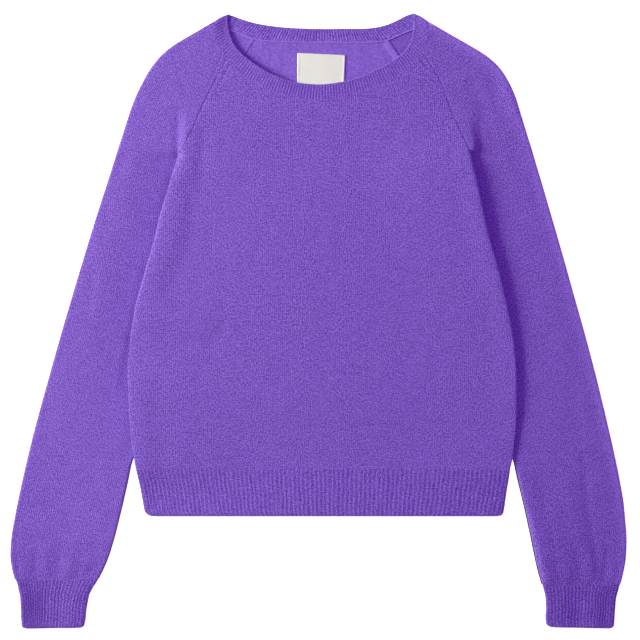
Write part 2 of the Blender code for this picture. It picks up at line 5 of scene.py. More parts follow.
import bpy
import numpy as np
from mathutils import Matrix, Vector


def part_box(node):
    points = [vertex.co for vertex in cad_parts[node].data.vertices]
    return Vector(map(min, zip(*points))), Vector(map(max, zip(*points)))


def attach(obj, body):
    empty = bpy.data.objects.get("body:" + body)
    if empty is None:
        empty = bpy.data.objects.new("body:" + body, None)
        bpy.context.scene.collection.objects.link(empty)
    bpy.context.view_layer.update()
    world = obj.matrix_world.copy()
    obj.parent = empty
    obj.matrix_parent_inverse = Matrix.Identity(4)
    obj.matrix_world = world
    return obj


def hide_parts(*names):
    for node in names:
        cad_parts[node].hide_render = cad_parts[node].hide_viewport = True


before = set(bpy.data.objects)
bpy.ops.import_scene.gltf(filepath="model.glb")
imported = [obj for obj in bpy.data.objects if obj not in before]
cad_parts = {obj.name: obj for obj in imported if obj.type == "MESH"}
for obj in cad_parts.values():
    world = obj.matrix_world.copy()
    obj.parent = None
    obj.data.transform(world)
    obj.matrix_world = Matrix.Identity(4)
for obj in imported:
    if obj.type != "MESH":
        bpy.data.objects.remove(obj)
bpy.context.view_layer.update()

# ------------------------------------------------------------------ the yarn and its stitches
# A soft two-ply wool, spun fluffy, dyed one vivid purple and brushed after knitting, so that
# short fibres stand over the stitches and the colour breaks up into light and dark flecks.
# The smooth side of the knit has columns of small V stitches, and the back has rows of bumps.
PURPLE_DARK = (0.066, 0.0168, 0.258, 1.0)
PURPLE_DEEP = (0.117, 0.0388, 0.386, 1.0)
PURPLE = (0.211, 0.0883, 0.561, 1.0)
PURPLE_PALE = (0.3325, 0.1724, 0.752, 1.0)
WALE = 2.05          # mm from one column of stitches to the next
COURSE = 1.5         # mm from one row of stitches to the next
MATT_WOOL = {"Roughness": 0.95, "Specular IOR Level": 0.15, "Sheen Weight": 0.5,
             "Sheen Roughness": 0.5, "Sheen Tint": (0.85, 0.75, 1.0, 1.0)}


class Yarn:
    """A value in a material that changes over the cloth. Sums on it add Math nodes."""

    def __init__(self, tree, socket=None):
        self.tree, self.socket = tree, socket

    def node(self, kind, settings=(), inputs=(), output=0):
        """Add a node: its settings first, then the values or links of its sockets."""
        made = self.tree.nodes.new("ShaderNode" + kind)
        for name, value in dict(settings).items():
            if name == "stops":
                ramp = made.color_ramp.elements
                while len(ramp) < len(value):
                    ramp.new(0.5)
                for stop, (place, colour) in zip(ramp, value):
                    stop.position, stop.color = place, colour
            else:
                setattr(made, name, value)
        for name, value in dict(inputs).items():
            if isinstance(value, Yarn):
                self.tree.links.new(value.socket, made.inputs[name])
            else:
                made.inputs[name].default_value = value
        return Yarn(self.tree, made.outputs[output])

    def feed(self, socket):
        self.tree.links.new(self.socket, socket)

    def sum_of(self, operation, *values):
        return self.node("Math", {"operation": operation}, dict(enumerate(values)))

    def __add__(self, other):
        return self.sum_of("ADD", self, other)

    def __sub__(self, other):
        return self.sum_of("SUBTRACT", self, other)

    def __rsub__(self, other):
        return self.sum_of("SUBTRACT", other, self)

    def __mul__(self, other):
        return self.sum_of("MULTIPLY", self, other)

    def __truediv__(self, other):
        return self.sum_of("DIVIDE", self, other)

    __radd__, __rmul__ = __add__, __mul__


def new_finish(name, constants):
    """A material with the constant values of its shader, and the shader's sockets."""
    finish = bpy.data.materials.new(name)
    finish.use_nodes = True
    sockets = finish.node_tree.nodes["Principled BSDF"].inputs
    for socket, value in constants.items():
        sockets[socket].default_value = value
    return finish, sockets


def knitted(name, stitch_depth, shade=0.0, fibres=1.0, purl=False):
    """A brushed knit: stitches under a mist of fibres, laid out by the mesh's own knit map.

    The mesh's map of seams and painted light, mostly from 0 to 1, darkens the colour: seam lines and
    marks, and painted shade in rib furrows, at folds and toward the cuffs. Below 0 it paints
    highlights on folds and edges."""
    finish, sockets = new_finish(name, MATT_WOOL)
    tree = finish.node_tree
    places = Yarn(tree).node("Attribute", {"attribute_name": "knit"}, output="Vector")
    furrow = Yarn(tree).node("Attribute", {"attribute_name": "furrow"}, output="Fac")
    wander = places.node("TexNoise", {}, {"Vector": places, "Scale": 260.0, "Detail": 2.0}, "Color")
    off = wander.node("VectorMath", {"operation": "SUBTRACT"}, {0: wander, 1: (0.5, 0.5, 0.5)})
    off = off.node("VectorMath", {"operation": "SCALE"}, {0: off, "Scale": 0.0022})
    placed = places.node("VectorMath", {"operation": "ADD"}, {0: places, 1: off})
    across = placed.node("SeparateXYZ", {}, {0: placed})
    along = placed.node("SeparateXYZ", {}, {0: placed}, "Y")
    column = across.sum_of("FRACT", across / (WALE * 0.001))
    lean = across.sum_of("ABSOLUTE", column - 0.5)
    if purl:
        rows = along / (COURSE * 0.001) + lean * 0.5
        stitches = rows.sum_of("SINE", rows * (2 * math.pi)) * 0.5 + 0.5
    else:
        rows = along / (COURSE * 0.001) + lean * 1.3
        legs = rows.sum_of("SINE", rows * (2 * math.pi)) * 0.5 + 0.5
        dent = lean.sum_of("POWER", lean.sum_of("SINE", column * math.pi), 0.7)
        stitches = dent * (0.5 + legs * 0.5)
    drawn = places.node("VectorMath", {"operation": "MULTIPLY"}, {0: places, 1: (1.15, 0.9, 1.0)})
    mist = places.node("TexNoise", {}, {"Vector": drawn, "Scale": 820.0, "Detail": 1.0,
                                        "Roughness": 0.7})
    flecks = places.node("TexNoise", {}, {"Vector": drawn, "Scale": 420.0, "Detail": 2.0,
                                          "Roughness": 0.7})
    cloud = places.node("TexNoise", {}, {"Vector": places, "Scale": 90.0, "Detail": 2.0})
    tone = (mist - 0.5) * (2.7 * fibres) + (flecks - 0.5) * (0.8 * fibres) + (cloud - 0.5) * 0.2
    # The map darkens the tone with seam lines and painted shade, and lightens it with painted
    # highlights where it is below 0.
    tone = tone + (stitches - 0.4) * 0.08 - furrow * 0.30 + (0.62 + shade)
    colour = tone.node("ValToRGB", {"stops": [(0.0, PURPLE_DARK), (0.31, PURPLE_DEEP),
                                              (0.62, PURPLE), (0.93, PURPLE_PALE)]}, {0: tone})
    colour.feed(sockets["Base Color"])
    fluff = stitches * stitch_depth + mist * (0.42 * fibres) + flecks * (0.36 * fibres)
    bump = fluff.node("Bump", {}, {"Strength": 1.0, "Distance": 0.001, "Height": fluff})
    bump.feed(sockets["Normal"])
    return finish


# ------------------------------------------------------------------ front panel
# The front is knitted flat in one piece, narrowed along the raglans and cast off in a scoop at
# the neck. Laid flat it rests on the back panel; its sides are soft folds that lie on top of
# the sleeves, and the spare cloth under each arm makes a ridge that runs up onto the sleeve.
CLOTH = 1.8          # mm, wall of the brushed knit
STACK = 6.2          # mm, front and back laid on each other
LAYERS = 4.0         # mm, the same where they are pressed together at the sides
GAP = 0.3            # mm between two layers at a fold
ROLL = 3.6           # mm over which a fold rounds down
RISE = 6.6           # mm that the sleeves under them lift the sides of the back
UNDERARM = {-1: 172.5, 1: 174.5}     # mm, height where the raglan seams end
SIDES = {-1: "right", 1: "left"}     # the wearer's side at -X and at +X
RIB_RISE = 2.6       # mm that the ribs run up past the solids' joins
BODY_FOOT = (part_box("front_panel")[0].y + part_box("hem_rib_front")[1].y) * 500.0 + RIB_RISE
SEAM_STEPS = (0.0, 0.12, 0.5, 1.1, 1.9, 2.8, 3.8, 4.8, 5.5, 6.3, 8.0, 10.5)   # mm in from an edge


def smooth(t):
    t = np.clip(t, 0.0, 1.0)
    return t * t * (3.0 - 2.0 * t)


def roll(distance, width=ROLL):
    """A fold's rounded profile: 0 at its edge, 1 where the cloth has come level."""
    t = np.clip(distance / width, 0.0, 1.0)
    return np.sqrt(1.0 - (1.0 - t) ** 2)


def fold_profile(distance, width, steep):
    """The same for a fold that stands up at once for a share of its height, then rounds off."""
    return steep * roll(distance, 0.8) + (1.0 - steep) * roll(distance, width)


def reach(node, points, ways, layer=(-1e3, 1e3), ahead=False):
    """Least and most distance, in mm, that a piece of the frame reaches along lines in plan."""
    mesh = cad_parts[node].data
    places = np.empty(len(mesh.vertices) * 3, np.float32)
    mesh.vertices.foreach_get("co", places)
    ends = np.empty(len(mesh.edges) * 2, np.int32)
    mesh.edges.foreach_get("vertices", ends)
    edges = 1000.0 * places.reshape(-1, 3).astype(float)[ends].reshape(-1, 2, 3)
    edges = edges[((edges[:, :, 2] > layer[0]) & (edges[:, :, 2] < layer[1])).all(axis=1)]
    found = []
    for point, way in zip(points, ways):
        beside = (edges[:, :, :2] - point) @ np.array([-way[1], way[0]])
        crossed = beside[:, 0] * beside[:, 1] < 0
        start, end = edges[crossed, 0, :2], edges[crossed, 1, :2]
        share = beside[crossed, 0] / (beside[crossed, 0] - beside[crossed, 1])
        far = (start + share[:, None] * (end - start) - point) @ np.array(way)
        far = far[far > 0] if ahead else far
        found.append((far.min(), far.max()))
    return np.array(found)


def ends_at(node, heights):
    """Where a piece of the frame begins and ends along X at each height, in mm."""
    return reach(node, [(0.0, height) for height in heights], [(1.0, 0.0)] * len(heights))


def soften(values, times):
    """Even out a curve's small corners; its two ends stay where they are."""
    values = np.array(values, float)
    for _ in range(times):
        values[1:-1] = 0.25 * values[:-2] + 0.5 * values[1:-1] + 0.25 * values[2:]
    return values


def hump(value, middle, width):
    """1 at a place, and fading out softly on both sides of it."""
    return np.exp(-((value - middle) / width) ** 2)


def run_along(curve):
    """How far along a curve each of its points lies."""
    return np.concatenate([[0.0], np.cumsum(np.linalg.norm(np.diff(curve, axis=0), axis=1))])


def points_at(curve, run, at):
    """Places on a curve, where run is how far along it its own points lie."""
    return np.stack([np.interp(at, run, curve[:, k]) for k in (0, 1)], axis=1)


def evenly(curve, count):
    """A curve's points again, evenly spaced along it."""
    run = run_along(curve)
    return points_at(curve, run, np.linspace(0.0, run[-1], count))


NECK_CENTRE = np.array([2.0, 300.0])
SHOULDER = {-1: ((-93.5, 319.2), (-109.0, 311.3)), 1: ((98.3, 320.2), (114.0, 311.4))}
NECK_EDGE, NECK_SEAM = 0, 1
NECK_RAYS = 90       # places along half the neckband where its solid is measured


def band_curve(front, edge):
    """The neckband's neck edge or its seam, from one shoulder fold to the other, in plan."""
    ends = [np.array(SHOULDER[side][edge]) for side in (-1, 1)]
    if front:
        first, last = (math.atan2(*(end - NECK_CENTRE)[::-1]) for end in ends)
        angles = np.linspace(first + 0.05, last + 2 * math.pi - 0.05, NECK_RAYS)
        ways = np.stack([np.cos(angles), np.sin(angles)], axis=1)
        far = reach("neckband", [NECK_CENTRE] * NECK_RAYS, ways, (STACK / 2 - 0.1, 99.0), True)
        points = NECK_CENTRE + ways * far[:, edge, None]
    else:
        across = np.linspace(ends[0][0] + 1.5, ends[1][0] - 1.5, NECK_RAYS)
        far = reach("neckband", [(x, 0.0) for x in across], [(0.0, 1.0)] * NECK_RAYS,
                    (-9.0, STACK / 2 + 0.1))
        points = np.stack([across, far[:, 1 if edge == NECK_EDGE else 0]], axis=1)
    curve = np.concatenate([ends[:1], points, ends[1:]])
    return evenly(soften(curve, 3), 400)


neck_seams = {"front": band_curve(True, NECK_SEAM), "back": band_curve(False, NECK_SEAM)}


def raglan_corner(layer, side):
    """Index along the neck seam where a panel's raglan seam meets it."""
    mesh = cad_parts[layer + "_panel"].data
    places = np.array([vertex.co[:2] for vertex in mesh.vertices]) * 1000.0
    places = places[places[:, 0] * side > 40.0]
    corner = places[np.argmax(places[:, 1])]
    return int(np.argmin(np.linalg.norm(neck_seams[layer] - corner, axis=1)))


OUTER_END = {-1: 0, 1: 1}    # which of a piece's two ends along X is the outer one on a side
#    mm that a side's soft fold lies out past its solid, at which y, and over how many mm
STRAYED = {-1: (1.3, 122.0, 38.0), 1: (1.5, -18.0, 24.0)}


def strayed(side, y):
    """How far along X, in mm, a side's soft fold lies from its solid's edge."""
    far, middle, span = STRAYED[side]
    return side * far * hump(y, middle, span) - 0.5 * (side > 0) * np.exp((BODY_FOOT - y) / 8.0)


def columns_across(width, between, fine=len(SEAM_STEPS)):
    """Shares of a width at a piece's columns of points, which lie closer near its two edges."""
    steps = np.array(SEAM_STEPS[:fine])[None, :] / width
    middle = np.linspace(0.0, 1.0, between + 2)[None, 1:-1] * (1.0 - 2.0 * steps[:, -1:])
    return np.concatenate([steps, steps[:, -1:] + middle, 1.0 - steps[:, ::-1]], axis=1)


def dip_of(curve):
    """How far a curve's points lie from the straight line between its ends."""
    return curve - (curve[0] + np.linspace(0.0, 1.0, len(curve))[:, None] * (curve[-1] - curve[0]))


def laid_between(start, end, share, dip, bend):
    """Places from one edge of a piece to the other, each row bent by a share of the dip."""
    plan = start[:, None] + share[:, :, None] * (end - start)[:, None]
    for k in (0, 1):
        plan[:, :, k] += bend[:, None] * np.interp(share, np.linspace(0, 1, len(dip)), dip[:, k])
    return plan


def panel_plan(layer, low_rows, high_rows, middle_columns):
    """Plan of a panel: each row's ends, and a bend toward the neckline above the underarm."""
    corners = {side: raglan_corner(layer, side) for side in (-1, 1)}
    neckline = evenly(neck_seams[layer][corners[-1]:corners[1] + 1], 200)
    ends = {}
    for side, tip in ((-1, neckline[0]), (1, neckline[-1])):
        low = np.linspace(BODY_FOOT, UNDERARM[side], low_rows)
        high = np.linspace(UNDERARM[side], tip[1], high_rows + 1)[1:]
        heights = np.concatenate([low, high])
        lines = [low[0] + 0.6, *heights[1:-1], high[-1] - 1.2]
        far = ends_at(layer + "_panel", lines)[:, OUTER_END[side]]
        far[-1] = tip[0]
        ends[side] = np.stack([soften(far + strayed(side, heights), 10), heights], axis=1)
    bend = np.append(np.zeros(low_rows), np.linspace(0.0, 1.0, high_rows + 1)[1:] ** 1.6)
    length = np.linalg.norm(ends[1] - ends[-1], axis=1)[:, None]
    share = columns_across(length, middle_columns)
    plan = laid_between(ends[-1], ends[1], share, dip_of(neckline), bend)
    return plan[:, :, 0], plan[:, :, 1], np.minimum(share, 1.0 - share) * length


# Where the ridge of the underarm's spare cloth runs on above each side fold.
#    y      x at -X  x at +X
RIDGE = np.array([
    (178, -145.6, 160.8),
    (188, -145, 160.3),
    (203.5, -144.5, 157.2),
    (219.5, -143, 157.5),
    (232, -142.5, 157),
])
side_heights = np.linspace(BODY_FOOT + 0.6, 172.0, 90)
side_ends = ends_at("front_panel", side_heights)
tucked_ends = {side: ends_at("sleeve_" + SIDES[side], side_heights)[:, OUTER_END[-side]]
               for side in (-1, 1)}


def fold_at(side, y):
    """Where the side fold lies at a height, and above the underarm the ridge that follows it."""
    heights = np.concatenate([side_heights, RIDGE[:, 0]])
    places = np.concatenate([side_ends[:, OUTER_END[side]], RIDGE[:, 1 + OUTER_END[side]]])
    return np.interp(y, heights, places + strayed(side, heights))


# How a lifted side comes down inboard of its fold, in mm: level for a shelf, which is longer
# at some heights, then a quick fall that takes a share of the lift, then a long tail.
SHELF = {-1: ((-203, -103, -30, 32, 94, 146, 198),
              (9, 8, 22, 11, 17, 9, 13)),
         1: ((-203, 198), (3, 3))}
FALL, TAIL = 25.0, 105.0
FALL_SHARE = {-1: ((-103, -60, -30, 10, 60), (0.26, 0.12, 0.05, 0.2, 0.34)),
              1: ((-203, 198), (0.22, 0.22))}
#    y and lift, in mm, of the front along each side fold
SIDE_LIFT = {-1: ((-103, -70, -30, 0, 32, 94, 146, 178, 198),
                  (4.9, 5.3, 3.3, 6.2, 5.3, 6, 4.8, 2.5, 3.1)),
             1: ((-150, -103, -75, -30, 32, 160, 190),
                 (2.2, 3.9, 5.3, 5.6, 7.3, 8.3, 4.4))}
MIDDLE = 0.5         # share of the lift that the loose cloth keeps between the two sides
#    mm inboard of that ridge where its flank begins and ends, at the heights in FLANK_HEIGHTS
FLANK_HEIGHTS = (172, 200, 232)
RIDGE_FLANK = {-1: ((-2.8, -4.6, -7), (7.2, 8, 9)),
               1: ((-6, -15, -22), (1, 2, 3))}
#    y, width and steep share of the rounding of the fold at -X
SOFT_FOLD = ((-203, -156, -92, -30, 0, 32, 94, 198),
             (5, 6, 10, 13, 8.5, 8, 8, 9),
             (0.5, 0.5, 0.5, 0.5, 0.36, 0.34, 0.25, 0.25))


def off_hem(y):
    """0 near the hem, where all the layers lie flat, and 1 well above it."""
    return smooth((y + 185.0) / 42.0)


def lift(x, y):
    """Lift of the front over the sleeves' hidden edges and the underarms' spare cloth."""
    height = np.zeros_like(x)
    for side in (-1, 1):
        inboard = (fold_at(side, y) - x) * side
        shelf = np.interp(y, *SHELF[side])
        middle = MIDDLE * smooth((y + 150.0) / 70.0) * (1.0 - smooth((y - 90.0) / 110.0))
        quick = np.interp(y, *FALL_SHARE[side])
        one = 1.0 - quick * smooth((inboard - shelf) / FALL)
        one = one - (1.0 - quick - middle) * smooth((inboard - shelf - 0.6 * FALL) / TAIL)
        one = one * off_hem(y) * (1.0 - smooth((y - 178.0) / 58.0))
        foot, head = (np.interp(y, FLANK_HEIGHTS, far) for far in RIDGE_FLANK[side])
        power = 1.0 if side < 0 else np.interp(y, FLANK_HEIGHTS[:2], (1.0, 1.6))
        flank = smooth((inboard - foot) / (head - foot)) ** power
        one = np.where(y > UNDERARM[side] - 3.0, one * flank, one)
        height = np.maximum(height, np.interp(y, *SIDE_LIFT[side]) * one)
    return height


def under_lift(x, y):
    """The same for the back, which lies on the sleeves and is flat between them."""
    height = np.zeros_like(x)
    for side in (-1, 1):
        inboard = (np.interp(y, side_heights, tucked_ends[side]) - x) * side
        one = (1.0 - smooth((inboard - 7.0) / 22.0)) * off_hem(y)
        height = np.maximum(height, RISE * one * (1.0 - smooth((y - 146.0) / 28.0)))
    return height


def uneven(x, y, size, seed):
    """Gentle unevenness of the cloth, about -1 to 1, in patches of about that size in mm."""
    draw = np.random.default_rng(seed)
    height = np.zeros(np.broadcast(x, y).shape)
    for _ in range(14):
        turn, phase = draw.uniform(0.0, 2 * math.pi, 2)
        pitch = 2.0 * size * draw.uniform(0.7, 1.7)
        height += np.sin(2 * math.pi * (x * math.cos(turn) + y * math.sin(turn)) / pitch + phase)
    return height / 5.0


def creased(x, y, creases):
    """Soft troughs (depth below 0) and ridges (above 0) laid along bowed lines, in mm."""
    height = np.zeros_like(x)
    for x0, y0, x1, y1, bow, width, depth in creases:
        length = math.hypot(x1 - x0, y1 - y0)
        along = ((x - x0) * (x1 - x0) + (y - y0) * (y1 - y0)) / length ** 2
        off = ((x - x0) * (y1 - y0) - (y - y0) * (x1 - x0)) / length
        off = off - bow * 4.0 * along * (1.0 - along)
        ends = smooth(along / 0.35) * smooth((1.0 - along) / 0.35)
        height += depth * ends * hump(off, 0.0, width)
    return height


#    x0      y0      x1      y1     bow   width  depth
BODY_CREASES = [
    (-117, 216, -124, 136, 0, 7, -0.7),
    (-92, 12, -106, -18, 0, 2.6, -0.3),
    (-84, 2, -97, -26, 0, 3, 0.22),
    (60, 130, 92, 60, 4, 9, -0.2),
    (-40, 60, -62, -40, 5, 12, 0.2),
    (30, -40, 66, -120, 4, 12, -0.2),
]
MARKS = {-1: 36.0, 1: 20.0}   # mm that the narrowing's marks run down beside each raglan seam
SEAM_DARK = {-1: 0.8, 1: 1.3}
FRESH = {-1: 0.75, 1: 0.4}    # how much fainter each seam is at its top
MARK_DARK = {(-1, True): 0.6, (-1, False): 0.5, (1, True): 1.0, (1, False): 0.1}    # True: panel


def raglan_seam(side, distance, y, top, panel):
    """A raglan seam's relief and its dark furrow at distances from the seam, in mm.

    Beside it, near the neck, a line of stitches shows where the panels were narrowed."""
    shown = smooth((y - UNDERARM[side] + 1.0) / 5.0)
    near = 1.0 - smooth(((top - y) * 1.15 - MARKS[side] * 0.6) / (MARKS[side] * 0.7))
    fresh = 1.0 - FRESH[side] * smooth((y - top + 26.0) / 18.0)
    line = hump(distance, 0.0, 0.5) * shown * fresh
    marks = MARK_DARK[side, panel] * hump(distance, 5.4, 0.6) * near * shown
    swell = hump(distance, 2.6, 1.3) * shown * (0.4 + 0.6 * near)
    deep = SEAM_DARK[side] + 0.4 * (1.0 - smooth((y - UNDERARM[side]) / 45.0))
    return 0.16 * swell - 0.32 * line - 0.4 * marks, deep * line + marks


def cloth(name, outer, inner, finish, across, along, furrow=0.0, ring=False, inside=None):
    """One wall of cloth from an outer and an inner grid of points in mm, closed at its edges.

    Its inner face may have a finish of its own. The knit runs on down over its steep folds."""
    rows, columns = outer.shape[:2]
    count = rows * columns
    if not ring:
        steps = np.diff(outer, axis=1, prepend=outer[:, :1])
        full, plan = (np.linalg.norm(steps[..., :k], axis=-1) for k in (3, 2))
        down_folds = np.cumsum(np.where(full > 1.4 * plan, full - plan, 0.0), axis=1)
        across = across + down_folds - down_folds[:, columns * 3 // 10 + 1, None]
    points = np.concatenate([outer.reshape(-1, 3), inner.reshape(-1, 3)]) * 0.001
    i = np.arange(rows if ring else rows - 1)[:, None]
    k = (i + 1) % rows
    j = np.arange(columns - 1)[None, :]
    quad = np.stack([i * columns + j, i * columns + j + 1,
                     k * columns + j + 1, k * columns + j], axis=-1)
    corner = np.stack([np.stack(np.broadcast_arrays(a, b), axis=-1) for a, b in
                       ((j, i), (j + 1, i), (j + 1, i + 1), (j, i + 1))], axis=-2)
    last = rows if ring else rows - 1
    chart = corner / np.array([columns - 1, last]) * np.array([0.45, 0.95]) + (0.02, 0.025)
    faces = [quad.reshape(-1, 4), (quad + count)[..., ::-1].reshape(-1, 4)]
    charts = [chart.reshape(-1, 4, 2), (chart + (0.5, 0.0))[..., ::-1, :].reshape(-1, 4, 2)]
    rims = [(np.s_[:, 0], (0, 3), (-0.012, 0.0)), (np.s_[:, -1], (2, 1), (0.012, 0.0))]
    if not ring:
        rims += [(np.s_[0], (1, 0), (0.0, -0.012)), (np.s_[-1], (3, 2), (0.0, 0.012))]
    for along_rim, corners, chart_step in rims:
        pair, place = quad[along_rim][:, corners], chart[along_rim][:, corners]
        faces.append(np.concatenate([pair, pair[:, ::-1] + count], axis=1))
        charts.append(np.concatenate([place, place[:, ::-1] + chart_step], axis=1))
    faces, charts = np.concatenate(faces), np.concatenate(charts)
    first, second, third = (points[faces[:, c]] for c in range(3))
    if np.einsum("ij,ij->", first, np.cross(second, third)) < 0:
        faces, charts = faces[:, ::-1], charts[:, ::-1]
    mesh = bpy.data.meshes.new(name)
    mesh.from_pydata(points.tolist(), [], faces.tolist())
    mesh.uv_layers.new(name="OFBake")
    mesh.uv_layers["OFBake"].uv.foreach_set("vector", charts.astype(np.float32).ravel())
    knit = np.zeros((2, rows, columns, 3), np.float32)
    knit[..., 0], knit[..., 1] = across * 0.001, along * 0.001
    knit[1, ..., 2] = CLOTH * 0.001
    mesh.attributes.new("knit", "FLOAT_VECTOR", "POINT").data.foreach_set("vector", knit.ravel())
    # The seam lines, painted shade and painted highlights go on the outer face only; the inner face
    # gets none.
    drawn_in = np.zeros((2, rows, columns), np.float32)
    drawn_in[0] = furrow
    mesh.attributes.new("furrow", "FLOAT", "POINT").data.foreach_set("value", drawn_in.ravel())
    mesh.shade_smooth()
    mesh.set_sharp_from_angle(angle=math.radians(75.0))
    mesh.materials.append(finish)
    if inside:
        mesh.materials.append(inside)
        for face in mesh.polygons[quad.size // 4:quad.size // 2]:
            face.material_index = 1
    piece = bpy.data.objects.new(name, mesh)
    bpy.context.scene.collection.objects.link(piece)
    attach(piece, "root")
    return piece


def laid_flat(node, face):
    """Hide a cloth's solid in the frame. The steps across its face are worked out, but nothing uses
    them.
    """
    one, other = face[1:, 1:] - face[:-1, :-1], face[1:, :-1] - face[:-1, 1:]
    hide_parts(node)


def open_seam(side, y):
    """1 above the underarm, where panel and sleeve are sewn edge to edge, and 0 at a fold."""
    return smooth((y - UNDERARM[side] + 3.0) / 7.0)


def body_wall(layer, x, y, from_edge, relief):
    """Outer and inner points of a panel or a hem rib at places in plan."""
    top = STACK + lift(x, y)
    base = np.minimum(under_lift(x, y), top - LAYERS)
    closed = 1.0 - np.where(x < 0, open_seam(-1, y), open_seam(1, y))
    width = np.where(x < 0, np.interp(y, SOFT_FOLD[0], SOFT_FOLD[1]), ROLL)
    steep = np.where(x < 0, np.interp(y, SOFT_FOLD[0], SOFT_FOLD[2]), 0.7)
    round_off = closed * fold_profile(from_edge, width, steep) + 1.0 - closed
    ends = base[:, [0, -1]] + STACK / 2.0
    middle = np.where(np.arange(x.shape[1]) < x.shape[1] / 2, ends[:, :1], ends[:, 1:])
    shift = CLOTH * closed * (1.0 - np.clip(from_edge / width, 0.0, 1.0)) * -np.sign(x)
    if layer == "front":
        start, outer_level, inner_level = middle + GAP / 2, top + relief, top - CLOTH
    else:
        start, outer_level, inner_level = middle - GAP / 2, base, base + CLOTH + relief
    outer = np.stack([x, y, start + (outer_level - start) * round_off], axis=-1)
    inner = np.stack([x + shift, y, start + (inner_level - start) * round_off], axis=-1)
    return outer, inner


def both_seams(x, y, from_edge, top):
    """Relief and furrow of the two raglan seams of a panel."""
    seams = [raglan_seam(side, from_edge, y, top[side], True) for side in (-1, 1)]
    return (np.where(x < 0, seams[0][k], seams[1][k]) for k in (0, 1))


x, y, from_edge = panel_plan("front", 150, 60, 132)
seam_relief, furrow = both_seams(x, y, from_edge, {-1: y[-1, 0], 1: y[-1, -1]})
relief = creased(x, y, BODY_CREASES) + 0.10 * uneven(x, y, 14.0, 3) + 0.06 * uneven(x, y, 5.0, 4)
# A painted highlight just inside the side fold at +X, around 50 mm below the middle.
furrow = furrow - 0.35 * hump(from_edge, 3.0, 3.5) * hump(y, -50.0, 30.0) * (x > 0)
front_knit = knitted("front_knit", 0.25, fibres=1.15)
outer, inner = body_wall("front", x, y, from_edge, relief + seam_relief)
front = cloth("front_panel_knit", outer, inner, front_knit, x, y, furrow)
laid_flat("front_panel", outer)

# ------------------------------------------------------------------ back panel
# The back is the same cloth, higher at the neck. It lies face down, so its purl side, a little
# paler and with rows of small bumps, is what the neck opening shows.
x, y, from_edge = panel_plan("back", 84, 40, 96)
purl = 0.03 * uneven(x, y, 9.0, 11)
back_knit = knitted("back_knit", 0.10, shade=0.05, fibres=0.35, purl=True)
outer, inner = body_wall("back", x, y, from_edge, purl)
back = cloth("back_panel_knit", outer, inner, back_knit, x, y)
laid_flat("back_panel", outer)

# ------------------------------------------------------------------ hem ribs
# A 1x1 rib, one raised column and one sunk one in turn, knitted on downward from each panel.
# The rib draws the sides in a little. Its columns wander, and its foot is a soft cast-off edge.
RIB = 0.3            # mm that a rib stands up
HEM_RIBS = 82
HEM_DEPTH = 47.0     # mm, and the heights of the rows of points up it
HEM_ROWS = ((0.0, 0.4, 1.0, 1.8, 2.8, 3.8), (5.2, 42.4), (43.6, 44.8, 46.0, 47.0))
HEM_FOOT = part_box("hem_rib_front")[0].y * 1000.0
UNDERLAP = 1.0       # mm that a rib's top runs on under the cloth that it is knitted on to
#    mm, height of each foot corner's straight, its radius and its spare width
HEM_CORNER = {-1: (14.0, 6.8, 0.5), 1: (14.0, 4.6, 0.05)}


def ribbed(phase):
    """Profile of 1x1 rib over its columns: 1 on each raised one, 0 in each narrow sunk one."""
    return 1.0 - np.abs(np.cos(math.pi * phase)) ** 5.0


def rib_ends(run, across, seed, slow=1.0):
    """How far a rib has come up at a distance from where it starts. Each starts for itself."""
    late = 0.6 + 1.7 * uneven(across, 0.0 * across, 3.6, seed)
    return smooth((run - slow * late) / (4.6 * slow))


def rib_furrow_shade(profile, x, y, seed, worn=0.35):
    """Painted shade in the sunk columns, broken where the fibres have closed over them."""
    broken = np.clip(0.62 + worn * uneven(x, 0.3 * y, 3.2, seed), 0.1, 1.1)
    broken = broken * (0.9 + 0.6 * worn * uneven(x, 0.6 * y, 1.6, seed + 1))
    return np.clip(1.0 - profile, 0.0, 1.0) * broken


def cast_off(edge, up, side, rows, corner, spread):
    """An edge that runs straight on down from some rows, with a round corner at its foot.

    The corner is its height where the straight begins, its radius and the spare width."""
    straight_from, radius, wider = corner
    edge = np.where(up < straight_from, np.polyval(np.polyfit(up[rows], edge[rows], 1), up), edge)
    drawn_in = radius - np.sqrt(radius ** 2 - np.clip(radius - up, 0.0, radius) ** 2)
    return edge - side * (drawn_in - wider * smooth((spread[0] - up) / spread[1]))


def hem_plan(layer, columns, rows):
    """Plan of a hem rib, the share of its width at each point, and the way in from its edge."""
    low, (start, end), high = HEM_ROWS
    heights = np.concatenate([low, np.linspace(start, end, rows), high]) / HEM_DEPTH
    heights = HEM_FOOT + heights * (BODY_FOOT - HEM_FOOT)
    up = heights - HEM_FOOT
    join = BODY_FOOT - RIB_RISE - 0.8
    far = ends_at("hem_rib_" + layer, np.clip(heights, heights[0] + 0.3, join))
    above = np.clip((heights - join) / (BODY_FOOT - join), 0.0, 1.0)
    panel = ends_at(layer + "_panel", [BODY_FOOT + 0.6])[0]
    for side, corner in HEM_CORNER.items():
        k = OUTER_END[side]
        far[:, k] += above * (panel[k] + strayed(side, BODY_FOOT) - far[:, k])
        far[:, k] = cast_off(far[:, k], up, side, slice(12, 24), corner, (32.0, 22.0))
    far[:, 1] += 0.45 * hump(up, 17.0, 7.0)
    heights = np.append(heights, heights[-1] + UNDERLAP)
    left, right = (np.append(far[:, k], far[-1, k])[:, None] for k in (0, 1))
    share = columns_across(right - left, columns, 8)
    x = left + share * (right - left)
    y = np.broadcast_to(heights[:, None], x.shape)
    return x, y, share, np.minimum(share, 1.0 - share) * (right - left)


